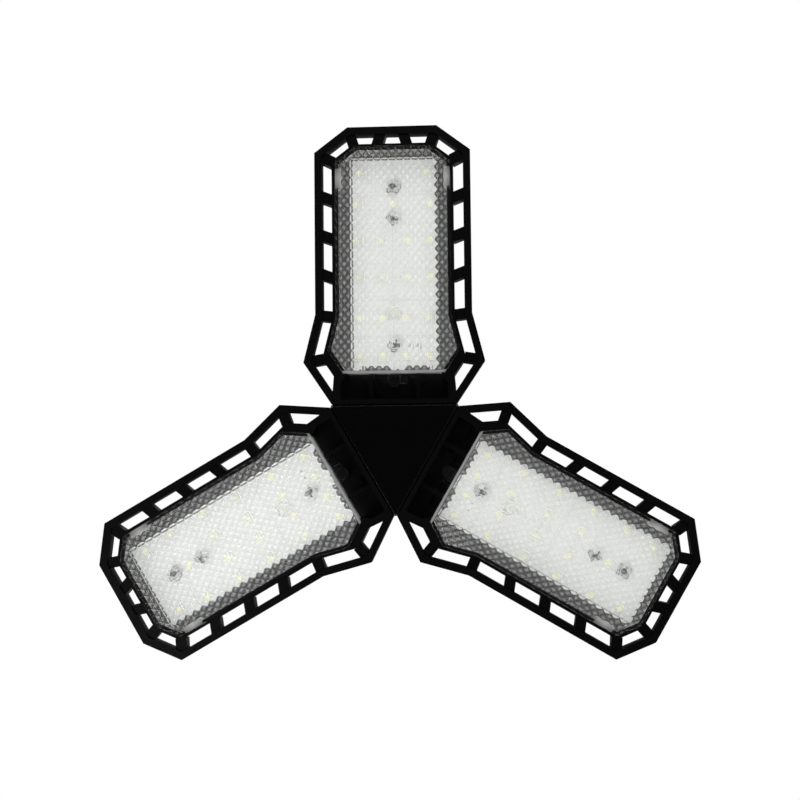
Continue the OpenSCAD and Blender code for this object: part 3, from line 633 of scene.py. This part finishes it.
def white_mask(board_end):
    """White solder mask over copper fields, with dark strips and pads at the hub end."""
    look = Finish("white_mask")
    across, along = plan_of(look)
    gap = abs(across) < COPPER_GAP / 2
    for row in COPPER_ROWS:
        gap = gap.most(abs(along - row) < COPPER_GAP / 2)
    speck = look.noise(0.5, detail=3)
    tint = look.blend(look.noise(11), (0.8, 0.805, 0.795), (0.86, 0.865, 0.85))
    strip = ((along < board_end + STRIP_DEEP)
             * (abs(abs(across - STRIP_OFF) - STRIP_MIDDLE) < STRIP_HALF))
    pads = ((abs(along - PADS_ALONG) < PAD_HALF)
            * (abs(abs(across - PADS_ACROSS) - PADS_APART / 2) < PAD_HALF))
    traced = look.blend(gap * 0.5, tint, (0.55, 0.57, 0.58))
    colour = look.blend(strip, look.blend(pads * 0.8, traced, (0.2, 0.2, 0.2)), (0.02, 0.02, 0.02))
    relief = speck * 0.15 - gap
    return look.done(look.principled(colour, speck * 0.2 + 0.3, Normal=look.bump(relief, 0.05)))


board = cad_copy("led_board_a", "led_board")
soften(board, 0.12)
plan_map(board)
board_end = -(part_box("led_board_a")[1].y + hub_face) / MM
finish_with(board, white_mask(board_end))
fit_round(board, "led_board")
print("LED board:", len(board.data.polygons), "faces, from", round(board_end, 2), "mm")

# %% [markdown]
# ## LED packages
# A package is a small white plastic cup on two tinned terminals, filled with yellow phosphor.
# Switched off, the phosphor is what shows as a pale yellow spot. One package is modelled from a
# cube: its window is inset and sunk, and its edges are bevelled. The exact node says where the
# copies go.

# %% LED packages
def loose_boxes(node):
    """The lowest and highest corners of each separate solid of a node."""
    whole = cad_copy(node, "whole")
    bpy.ops.object.mode_set(mode="EDIT")
    bpy.ops.mesh.select_all(action="SELECT")
    bpy.ops.mesh.separate(type="LOOSE")
    bpy.ops.object.mode_set(mode="OBJECT")
    boxes = []
    for part in list(bpy.context.selected_objects):
        spots = [v.co for v in part.data.vertices]
        boxes.append((Vector(map(min, zip(*spots))), Vector(map(max, zip(*spots)))))
        bpy.data.objects.remove(part)
    return boxes


def block(name, size, centre, round_off=0.0):
    """A block of a size in metres, with its edges bevelled by this many millimetres."""
    bpy.ops.object.select_all(action="DESELECT")
    bpy.ops.mesh.primitive_cube_add(size=1)
    piece = bpy.context.object
    piece.name = name
    bpy.ops.object.mode_set(mode="EDIT")
    bpy.ops.transform.resize(value=size)
    bpy.ops.transform.translate(value=centre)
    bpy.ops.object.mode_set(mode="OBJECT")
    if round_off:
        apply_modifier(piece, "rounding", "BEVEL", width=round_off * MM, segments=2)
    return piece


def select_faces(piece, chosen):
    """Opens a piece in edit mode with just the chosen faces selected."""
    only(piece)
    bpy.ops.object.mode_set(mode="EDIT")
    bpy.ops.mesh.select_mode(type="FACE")
    bpy.ops.mesh.select_all(action="DESELECT")
    bpy.ops.object.mode_set(mode="OBJECT")
    for face in piece.data.polygons:
        face.select = chosen(face)
    bpy.ops.object.mode_set(mode="EDIT")


def join(pieces):
    """Joins pieces into the first of them."""
    only(pieces[0])
    for piece in pieces:
        piece.select_set(True)
    bpy.ops.object.join()
    return bpy.context.object


def copies_at(piece, places):
    """One piece made of copies of a piece that stands at the origin."""
    made = [own_copy(piece, Matrix.Translation(place)) for place in places]
    bpy.data.objects.remove(piece)
    return join(made)


WINDOW_RIM = 0.14
WINDOW_SLOPE = 0.14     # how far the window's sides go in, and also down
CUP_SHORT = 0.3         # how much shorter the cup is than the whole package
CUP_LIFT = 0.04         # how far the cup stands off the board
CUP_ROUND = 0.07
TERMINAL_LONG = 0.55
TERMINAL_WIDE = 0.62    # share of the package's width
TERMINAL_THICK = 0.16
TERMINAL_ROUND = 0.03
led_boxes = loose_boxes("leds_a")
led_long, led_wide, led_high = led_boxes[0][1] - led_boxes[0][0]
package = block("leds", (led_long - CUP_SHORT * MM, led_wide, led_high - CUP_LIFT * MM),
                (0, 0, -CUP_LIFT / 2 * MM))
select_faces(package, lambda face: face.normal.z < -0.9)
bpy.ops.mesh.inset(thickness=WINDOW_RIM * MM)
bpy.ops.mesh.inset(thickness=WINDOW_SLOPE * MM, depth=-WINDOW_SLOPE * MM)
bpy.ops.object.mode_set(mode="OBJECT")
apply_modifier(package, "rounding", "BEVEL", width=CUP_ROUND * MM, segments=1,
               limit_method="ANGLE", angle_limit=math.radians(60))
terminal_size = (TERMINAL_LONG * MM, led_wide * TERMINAL_WIDE, TERMINAL_THICK * MM)
terminal_out = (led_long - TERMINAL_LONG * MM) / 2
terminal_up = (led_high - TERMINAL_THICK * MM) / 2
terminals = [block("terminal", terminal_size, (side * terminal_out, 0, terminal_up),
                   TERMINAL_ROUND)
             for side in (1, -1)]
PACKAGE_WHITE = mottled("package_white", (0.78, 0.79, 0.76), (0.84, 0.84, 0.8), 3, 0.3,
                        0.35, 0.2, 0.004)
PHOSPHOR = mottled("phosphor", (0.96, 0.95, 0.69), (0.99, 0.98, 0.76), 0.8, 0.15, 0.3, 0.2, 0.02,
                   Coat_Weight=0.6)
TINNED = mottled("tinned", (0.6, 0.6, 0.6), (0.75, 0.75, 0.75), 1, 0.2, 0.25, 0.2, 0.004,
                 Metallic=1.0)
for part in (package, *terminals):
    finish_with(part, PACKAGE_WHITE, PHOSPHOR, TINNED)
phosphor_z = max(face.center.z for face in package.data.polygons if face.normal.z < -0.9)
for face in package.data.polygons:
    face.material_index = int(face.normal.z < -0.9 and face.center.z > phosphor_z - 0.01 * MM)
for terminal in terminals:
    for face in terminal.data.polygons:
        face.material_index = 2
package = join([package, *terminals])
leds = copies_at(package, [(a + b) / 2 for a, b in led_boxes])
fit_round(leds, "leds")
print(len(led_boxes), "LEDs on each board,", len(leds.data.polygons), "faces")

# %% [markdown]
# ## Turned parts
# The screws and the lamp base's shell come from a profile that is turned round an axis. A plane is
# merged to one vertex, the vertex is extruded from point to point along the profile, and a Screw
# modifier turns it. With a pitch, the same modifier makes a thread.

# %% Turned parts
def turned(name, profile, steps=48, pitch=0.0, turns=1):
    """Turns a profile of (radius, height) points in millimetres round the Z axis."""
    spots = [Vector((radius, 0, height)) * MM for radius, height in profile]
    bpy.ops.object.select_all(action="DESELECT")
    bpy.ops.mesh.primitive_plane_add(size=MM)
    piece = bpy.context.object
    piece.name = name
    bpy.ops.object.mode_set(mode="EDIT")
    bpy.ops.mesh.select_mode(type="VERT")
    bpy.ops.mesh.select_all(action="SELECT")
    bpy.ops.mesh.merge(type="CENTER")
    bpy.ops.mesh.select_all(action="SELECT")
    bpy.ops.transform.translate(value=spots[0])
    for before, after in zip(spots, spots[1:]):
        bpy.ops.mesh.extrude_vertices_move(TRANSFORM_OT_translate={"value": after - before})
    bpy.ops.object.mode_set(mode="OBJECT")
    apply_modifier(piece, "turning", "SCREW", angle=math.tau, steps=steps, render_steps=steps,
                   screw_offset=pitch * MM, iterations=turns, use_merge_vertices=True,
                   merge_threshold=0.01 * MM)
    bpy.ops.object.mode_set(mode="EDIT")
    bpy.ops.mesh.select_all(action="SELECT")
    bpy.ops.mesh.remove_doubles(threshold=0.005 * MM)
    bpy.ops.mesh.normals_make_consistent(inside=False)
    bpy.ops.object.mode_set(mode="OBJECT")
    return piece


# %% [markdown]
# ## Board screws
# Three Phillips pan-head screws hold each board. The cross recess is a pair of tapered blades, cut
# out of the turned head with a Boolean modifier. The head is bright nickel on top. Its recess and
# its rolled edge look dark through the lens, so the recess faces get a painted shade and the faces
# of the edge a painted dark reflection.

# %% Board screws
HEAD_RADIUS = 2.75
HEAD_HIGH = 2.0
HEAD_CROWN = 0.58             # share of the head's height that is domed
HEAD_ANGLES = (25, 45, 62, 78, 90)
SHANK_RADIUS = 1.5
SHANK_CHAMFER = 0.4
RECESS_LONG = 4.0
RECESS_WIDE = 1.15
RECESS_DEEP = 1.3
RECESS_TAPER = (0.35, 0.7)    # shares of a blade's length and width at its tip
SCREW_TURN = math.radians(20)
RECESS_LEVELS = (0.05, 0.88)  # shares of the head's height between which the recess lies
DARK_WITHIN = 0.62            # share of the head's radius within which it lies
DARK_BEYOND = 0.8             # share of the head's radius beyond which the edge lies


def phillips(name, shank_len):
    """A pan-head screw whose head stands below z = 0, with a shank this many mm long."""
    dome = [(0, -HEAD_HIGH)] + [
        (HEAD_RADIUS * math.sin(t), -HEAD_HIGH * (1 - HEAD_CROWN + HEAD_CROWN * math.cos(t)))
        for t in map(math.radians, HEAD_ANGLES)]
    screw = turned(name, [*dome, (HEAD_RADIUS * 0.97, 0), (SHANK_RADIUS, 0),
                          (SHANK_RADIUS, shank_len - SHANK_CHAMFER),
                          (SHANK_RADIUS * 0.7, shank_len), (0, shank_len)], steps=32)
    for turn in (0, math.pi / 2):
        blade = block("blade", (RECESS_LONG * MM, RECESS_WIDE * MM, 2 * RECESS_DEEP * MM),
                      (0, 0, -HEAD_HIGH * MM))
        select_faces(blade, lambda face: face.normal.z > 0.9)
        bpy.ops.transform.resize(value=(*RECESS_TAPER, 1))
        bpy.ops.object.mode_set(mode="OBJECT")
        blade.data.transform(Matrix.Rotation(turn + SCREW_TURN, 4, "Z"))
        boolean(screw, blade, "DIFFERENCE")
    bpy.ops.object.shade_smooth_by_angle(angle=SMOOTH_BELOW)
    finish_with(screw, BRIGHT_NICKEL, RECESS_PAINTED_SHADE, HEAD_EDGE_PAINTED_REFLECTION)
    # The recess faces get a painted shade, and the faces of the rolled edge a painted dark
    # reflection.
    for face in screw.data.polygons:
        out = face.center.xy.length / (HEAD_RADIUS * MM)
        up = -face.center.z / (HEAD_HIGH * MM)
        if out < DARK_WITHIN and RECESS_LEVELS[0] < up < RECESS_LEVELS[1]:
            face.material_index = 1
        elif out > DARK_BEYOND:
            face.material_index = 2
    return screw


BRIGHT_NICKEL = mottled("bright_nickel", (0.66, 0.67, 0.67), (0.78, 0.79, 0.79), 2, 0.2, 0.36, 0.2,
                        0.004, Metallic=0.45)
# Painted dark reflection on the head's rolled edge, darker than the nickel of the head.
HEAD_EDGE_PAINTED_REFLECTION = mottled("head_edge_painted_reflection", (0.1, 0.1, 0.1), (0.16, 0.16, 0.16), 2, 0.2, 0.3, 0.2, 0.004,
                    Metallic=0.8)
# Painted shade inside the cross recess.
RECESS_PAINTED_SHADE = mottled("recess_painted_shade", (0.012, 0.012, 0.012), (0.03, 0.03, 0.03), 0.6, 0.2, 0.5,
                       0.3, 0.01)
seats = loose_boxes("board_screws_a")
board_screw = phillips("board_screws", (seats[0][1].z - seats[0][0].z) / MM - HEAD_HIGH)
board_screws = copies_at(board_screw, [
    ((a + b) / 2).xy.to_3d() + Vector((0, 0, a.z + HEAD_HIGH * MM)) for a, b in seats])
fit_round(board_screws, "board_screws")
print("board screws:", len(board_screws.data.polygons), "faces")

# %% [markdown]
# ## The hub
# The front cover is polished and mirrors the studio, and its bevel draws the thin line round the
# triangle. The housing behind it and the collar are moulded with a grain. All three keep the exact
# shape, with their edges rounded.

# %% Hub shells
HUB_SHELLS = (("hub_cover", "cover_plastic", 0.2, POLISHED_BLACK),
              ("hub_housing", "hub_plastic", 0.25, MOULDED_BLACK),
              ("collar", "hub_plastic", 0.2, MOULDED_BLACK))


def rounded_part(node, name, rounding, finish):
    """A rounded copy of a node with its finish."""
    piece = cad_copy(node, name)
    soften(piece, rounding)
    finish_with(piece, finish)
    return piece


for node, slot, rounding, finish in HUB_SHELLS:
    piece = rounded_part(node, f"{node}_piece", rounding, finish)
    fit(piece, "hub", node)
    print(node, len(piece.data.polygons), "faces")

# %% [markdown]
# ## The lamp base
# The shell is thin metal, rolled into a thread with a pitch of seven turns to the inch. One wave of
# the thread is turned with that pitch, faded to true circles near both ends, and cut off flat there.
# Edge by edge it is then extruded up to the lip and down into the collar, and Solidify gives the
# sheet its thickness. The glassy insulator and the centre contact keep their exact shapes.

# %% Screw shell
THREAD_PITCH = 3.63
CREST = 13.1
ROOT = 12.3
SHEET = 0.4
THREAD_TURNS = 7
WAVE_STEPS = 10
SHELL_STEPS = 96
THREAD_FROM = 0.9
THREAD_TO = 16.4
RUN_OUT = 2.4         # how far from its ends the thread begins to fade
UPPER_RINGS = ((12.3, 17.4), (11.4, 18.4), (10.1, 19.6))
LOWER_RINGS = ((12.7, 0.0), (12.7, -5.0))
THIN_SMOOTH = math.radians(50)    # smooths a round part that has few sides


def select_level(piece, height):
    """Opens a piece in edit mode with the edges at one height selected."""
    only(piece)
    bpy.ops.object.mode_set(mode="EDIT")
    bpy.ops.mesh.select_mode(type="VERT")
    bpy.ops.mesh.select_all(action="DESELECT")
    bpy.ops.object.mode_set(mode="OBJECT")
    for vertex in piece.data.vertices:
        vertex.select = abs(vertex.co.z - height * MM) < 0.002 * MM
    bpy.ops.object.mode_set(mode="EDIT")


def fade_thread(piece):
    """Draws the thread to true circles towards both of its ends."""
    for vertex in piece.data.vertices:
        level = vertex.co.z / MM
        lower = min(max(1 + (THREAD_FROM - level) / RUN_OUT, 0), 1)
        upper = min(max(1 + (level - THREAD_TO) / RUN_OUT, 0), 1)
        ring = LOWER_RINGS[0][0] if lower > upper else UPPER_RINGS[0][0]
        grow = ring * MM / vertex.co.xy.length - 1
        vertex.co.xy *= 1 + grow * max(lower, upper)


def draw_rings(piece, height, rings):
    """Extrudes the open edge at a height through rings of (radius, height)."""
    select_level(piece, height)
    bpy.ops.object.mode_set(mode="OBJECT")
    start = rings[0][0] * MM
    for vertex in piece.data.vertices:
        if vertex.select:
            vertex.co.xy = vertex.co.xy.normalized() * start
    bpy.ops.object.mode_set(mode="EDIT")
    bpy.ops.mesh.select_mode(type="EDGE")
    before = (rings[0][0], height)
    for radius, level in rings:
        bpy.ops.mesh.extrude_edges_move(
            TRANSFORM_OT_translate={"value": (0, 0, (level - before[1]) * MM)})
        grow = radius / before[0]
        bpy.ops.transform.resize(value=(grow, grow, 1), center_override=(0, 0, 0))
        before = (radius, level)
    bpy.ops.object.mode_set(mode="OBJECT")


middle, swing = (CREST + ROOT) / 2, (CREST - ROOT) / 2
wave = [(middle + swing * math.cos(math.tau * k / WAVE_STEPS), THREAD_PITCH * k / WAVE_STEPS)
        for k in range(WAVE_STEPS + 1)]
shell = turned("screw_shell_piece", [(radius, level - THREAD_PITCH) for radius, level in wave],
               steps=SHELL_STEPS, pitch=THREAD_PITCH, turns=THREAD_TURNS)
fade_thread(shell)
for level, side in ((THREAD_FROM, "clear_inner"), (THREAD_TO, "clear_outer")):
    only(shell)
    bpy.ops.object.mode_set(mode="EDIT")
    bpy.ops.mesh.select_all(action="SELECT")
    bpy.ops.mesh.bisect(plane_co=(0, 0, level * MM), plane_no=(0, 0, 1), threshold=0.001 * MM,
                        **{side: True})
    bpy.ops.object.mode_set(mode="OBJECT")
draw_rings(shell, THREAD_TO, UPPER_RINGS)
draw_rings(shell, THREAD_FROM, LOWER_RINGS)
bpy.ops.object.mode_set(mode="EDIT")
bpy.ops.mesh.select_all(action="SELECT")
bpy.ops.mesh.normals_make_consistent(inside=False)
bpy.ops.object.mode_set(mode="OBJECT")
apply_modifier(shell, "sheet", "SOLIDIFY", thickness=SHEET * MM, offset=-1)
bpy.ops.object.shade_smooth_by_angle(angle=THIN_SMOOTH)
SHELL_METAL = mottled("rolled_shell", (0.5, 0.51, 0.52), (0.64, 0.65, 0.66), 7, 0.3, 0.18, 0.12,
                      0.003, Metallic=1.0)
finish_with(shell, SHELL_METAL)
fit(shell, "hub", "screw_shell")
print("screw shell:", len(shell.data.polygons), "faces")

# %% [markdown]
# ## Exact parts with a finish
# The other parts are simple shapes in real life too. Each becomes a rounded copy with its own
# finish: bright zinc on the bolts, a spring steel on the washers, and rubber, nylon and lacquer on
# the driver's parts, which show only through the vents.

# %% Small parts' finishes
def banded(name, first, second, axis, period, share, rough, **others):
    """Two colours in bands across one axis, such as turns of wire, with a ridge on each."""
    look = Finish(name)
    spot = look.node("ShaderNodeSeparateXYZ", None, {"Vector": look.place()}, output=axis)
    turn = spot.wave(period)
    grain = look.noise(0.4, detail=3)
    colour = look.blend(turn > share, first, second)
    return look.done(look.principled(colour, grain * 0.15 + rough,
                                     Normal=look.bump(turn, period / 3), **others))


def circuit_green():
    """A green board whose copper runs show as paler lines under the mask."""
    look = Finish("circuit_green")
    bricks = look.node("ShaderNodeTexBrick", {"offset": 0.5},
                       {"Vector": look.place(), "Scale": 0.2, "Mortar Size": 0.06,
                        "Color1": (0, 0, 0, 1), "Color2": (0, 0, 0, 1), "Mortar": (1, 1, 1, 1)},
                       output="Fac")
    cloud = look.noise(6)
    mask = look.blend(cloud, (0.012, 0.085, 0.03), (0.02, 0.12, 0.045))
    colour = look.blend(bricks * 0.8, mask, (0.05, 0.26, 0.1))
    return look.done(look.principled(colour, cloud * 0.1 + 0.28,
                                     Normal=look.bump(bricks, 0.05), Coat_Weight=0.4))


ZINC = mottled("zinc_plate", (0.42, 0.43, 0.45), (0.6, 0.61, 0.64), 5, 0.25, 0.2, 0.22, 0.005,
               Metallic=1.0)
SPRING_STEEL = mottled("spring_steel", (0.36, 0.36, 0.37), (0.5, 0.5, 0.51), 3, 0.2, 0.18, 0.2,
                       0.004, Metallic=1.0)
CONTACT_METAL = mottled("tinned_contact", (0.5, 0.48, 0.43), (0.68, 0.66, 0.6), 2.5, 0.3, 0.22,
                        0.25, 0.02, Metallic=1.0)
BASE_GLASS = mottled("base_glass", (0.006, 0.005, 0.009), (0.02, 0.016, 0.028), 5, 0.8, 0.06,
                     0.12, 0.02, Coat_Weight=0.5)
SILICONE = mottled("silicone", (0.72, 0.72, 0.69), (0.82, 0.82, 0.79), 2, 0.3, 0.4, 0.25, 0.01)
RUBBER = mottled("bush_rubber", (0.008, 0.008, 0.008), (0.016, 0.016, 0.016), 3, 0.25, 0.5, 0.3,
                 0.02)
LEAD_BLACK = mottled("lead_black", (0.006, 0.006, 0.007), (0.014, 0.014, 0.015), 4, 0.3, 0.34,
                     0.25, 0.01)
LEAD_RED = mottled("lead_red", (0.32, 0.018, 0.012), (0.4, 0.03, 0.02), 4, 0.3, 0.34, 0.25, 0.01)
LEAD_WHITE = mottled("lead_white", (0.68, 0.68, 0.66), (0.78, 0.78, 0.76), 4, 0.3, 0.34, 0.25,
                     0.01)
CHIP_BLACK = mottled("chip_epoxy", (0.008, 0.008, 0.009), (0.02, 0.02, 0.021), 2, 0.15, 0.45,
                     0.25, 0.015)
LACQUER = mottled("resistor_lacquer", (0.16, 0.25, 0.13), (0.22, 0.33, 0.18), 2, 0.3, 0.3, 0.2,
                  0.02, Coat_Weight=0.4)
NYLON = mottled("socket_nylon", (0.7, 0.68, 0.6), (0.8, 0.78, 0.7), 3, 0.25, 0.38, 0.2, 0.01)
CAN_SLEEVE = mottled("can_sleeve", (0.008, 0.016, 0.05), (0.014, 0.026, 0.07), 4, 0.4, 0.22, 0.2,
                     0.01, Coat_Weight=0.4)
WINDING = banded("enamelled_winding", (0.42, 0.14, 0.045), (0.24, 0.07, 0.02), "Y", 0.5, 0.3, 0.24,
                 Coat_Weight=0.5)
TAPED_CORE = banded("taped_core", (0.4, 0.28, 0.03), (0.03, 0.028, 0.026), "Z", 4.6, 0.55, 0.35)
CIRCUIT_GREEN = circuit_green()

# %% Rounded exact parts
HUB_PARTS = (("base_insulator", "base_insulator", 0.2, BASE_GLASS),
             ("centre_contact", "contact_metal", 0.15, CONTACT_METAL),
             ("collar_screws", "zinc_screw", 0.08, ZINC),
             ("lead_bushes", "rubber", 0.12, RUBBER),
             ("driver_board", "driver_board", 0.08, CIRCUIT_GREEN),
             ("driver_screws", "zinc_screw", 0.08, ZINC),
             ("transformer", "transformer", 0.2, TAPED_CORE),
             ("bulk_capacitors", "capacitor", 0.1, CAN_SLEEVE),
             ("filter_choke", "choke", 0.12, WINDING),
             ("rectifier", "chip", 0.2, CHIP_BLACK),
             ("driver_chips", "chip", 0.12, CHIP_BLACK),
             ("fusible_resistor", "resistor", 0.2, LACQUER),
             ("output_sockets", "socket", 0.12, NYLON))
LEAF_PARTS = (("lead_plug", "silicone", 0.2, SILICONE),
              ("hinge_bolt", "zinc_screw", 0.12, ZINC),
              ("hinge_nut", "zinc_screw", 0.15, ZINC),
              ("hinge_washers", "spring_steel", 0.08, SPRING_STEEL))

for node, slot, rounding, finish in HUB_PARTS:
    fit(rounded_part(node, f"{node}_piece", rounding, finish), "hub", node)
for stem, slot, rounding, finish in LEAF_PARTS:
    fit_round(rounded_part(f"{stem}_a", stem, rounding, finish), stem)
print(len(HUB_PARTS), "parts of the hub,", len(LEAF_PARTS), "parts of each leaf")

# %% [markdown]
# ## Leaf leads
# Each leaf is fed by two leads, which come out of the hub through a rubber bush, pass under the
# hinge bolt and run in a groove of the leaf. They bend each time the leaf folds. The exact leads
# are drawn on into the bush and cut into short rings where they pass the hinge, but nothing here
# bends them: they stay where they are, on no body.

# %% Leaf leads
LEAD_END = 0.6        # along the leaf to the end of the exact leads
LEAD_TAIL = 2.1       # how far they are drawn on, into the bush
LEAD_BEND_TO = 8.5    # along the leaf to where they stop bending
LEAD_RINGS = 14

bend_from, bend_to = on_leaf(LEAD_END, 0, 0), on_leaf(LEAD_BEND_TO, 0, 0)
leads = cad_copy("leaf_leads_a", "leaf_leads")
select_faces(leads, lambda face: face.normal.y > 0.99
             and abs(face.center.y - bend_from.y) < 0.05 * MM)
bpy.ops.mesh.extrude_region_move(TRANSFORM_OT_translate={"value": (0, LEAD_TAIL * MM, 0)})
for ring in range(LEAD_RINGS + 1):
    bpy.ops.mesh.select_all(action="SELECT")
    bpy.ops.mesh.bisect(plane_co=bend_from.lerp(bend_to, ring / LEAD_RINGS), plane_no=(0, 1, 0),
                        threshold=0.001 * MM)
bpy.ops.object.mode_set(mode="OBJECT")
bpy.ops.object.shade_smooth_by_angle(angle=SMOOTH_BELOW)
finish_with(leads, LEAD_BLACK)
fit_round(leads, "leaf_leads", bend=(bend_from, bend_to))
print("leaf leads:", len(leads.data.polygons), "faces")

# %% [markdown]
# ## Mains leads
# Two insulated wires run from the lamp base to the driver board, each soldered at both ends. Each is
# one Bezier segment with a round bevel, made a mesh at the end. A route is the segment's start, its
# two handles and its end.

# %% Mains leads
WIRE_RADIUS = 0.75
LIVE_ROUTE = ((8, -6, -33.5), (8, 6, -33.5), (0, 0, -16), (0, 0, 23.8))
NEUTRAL_ROUTE = ((-12, -6, -32.5), (-12, 6, -32.5), (6, 2, 1), (-11.7, 0, -2.5))


def wire(name, route, finish):
    """A round wire along the curve that four points in millimetres steer."""
    bpy.ops.object.select_all(action="DESELECT")
    bpy.ops.curve.primitive_bezier_curve_add()
    piece = bpy.context.object
    piece.name = f"{name}_piece"
    first, last = piece.data.splines[0].bezier_points
    for point in (first, last):
        point.handle_left_type = point.handle_right_type = "FREE"
    start, out, into, end = (Vector(spot) * MM for spot in route)
    first.co, first.handle_right, first.handle_left = start, out, start
    last.co, last.handle_left, last.handle_right = end, into, end
    piece.data.resolution_u = 28
    piece.data.bevel_depth = WIRE_RADIUS * MM
    piece.data.bevel_resolution = 4
    piece.data.use_fill_caps = True
    bpy.ops.object.convert(target="MESH")
    piece = bpy.context.object
    bpy.ops.object.mode_set(mode="EDIT")
    bpy.ops.mesh.select_all(action="SELECT")
    bpy.ops.mesh.remove_doubles(threshold=0.01 * MM)
    bpy.ops.object.mode_set(mode="OBJECT")
    bpy.ops.object.shade_smooth_by_angle(angle=THIN_SMOOTH)
    finish_with(piece, finish)
    fit(piece, "hub", name)
    return piece


live = wire("live_lead", LIVE_ROUTE, LEAD_RED)
neutral = wire("neutral_lead", NEUTRAL_ROUTE, LEAD_WHITE)
print("mains leads:", len(live.data.polygons) + len(neutral.data.polygons), "faces")

# %% [markdown]
# ## Finish
# The colours are shown through the plain Standard view transform.

# %% Set the view transform
bpy.context.scene.view_settings.view_transform = "Standard"
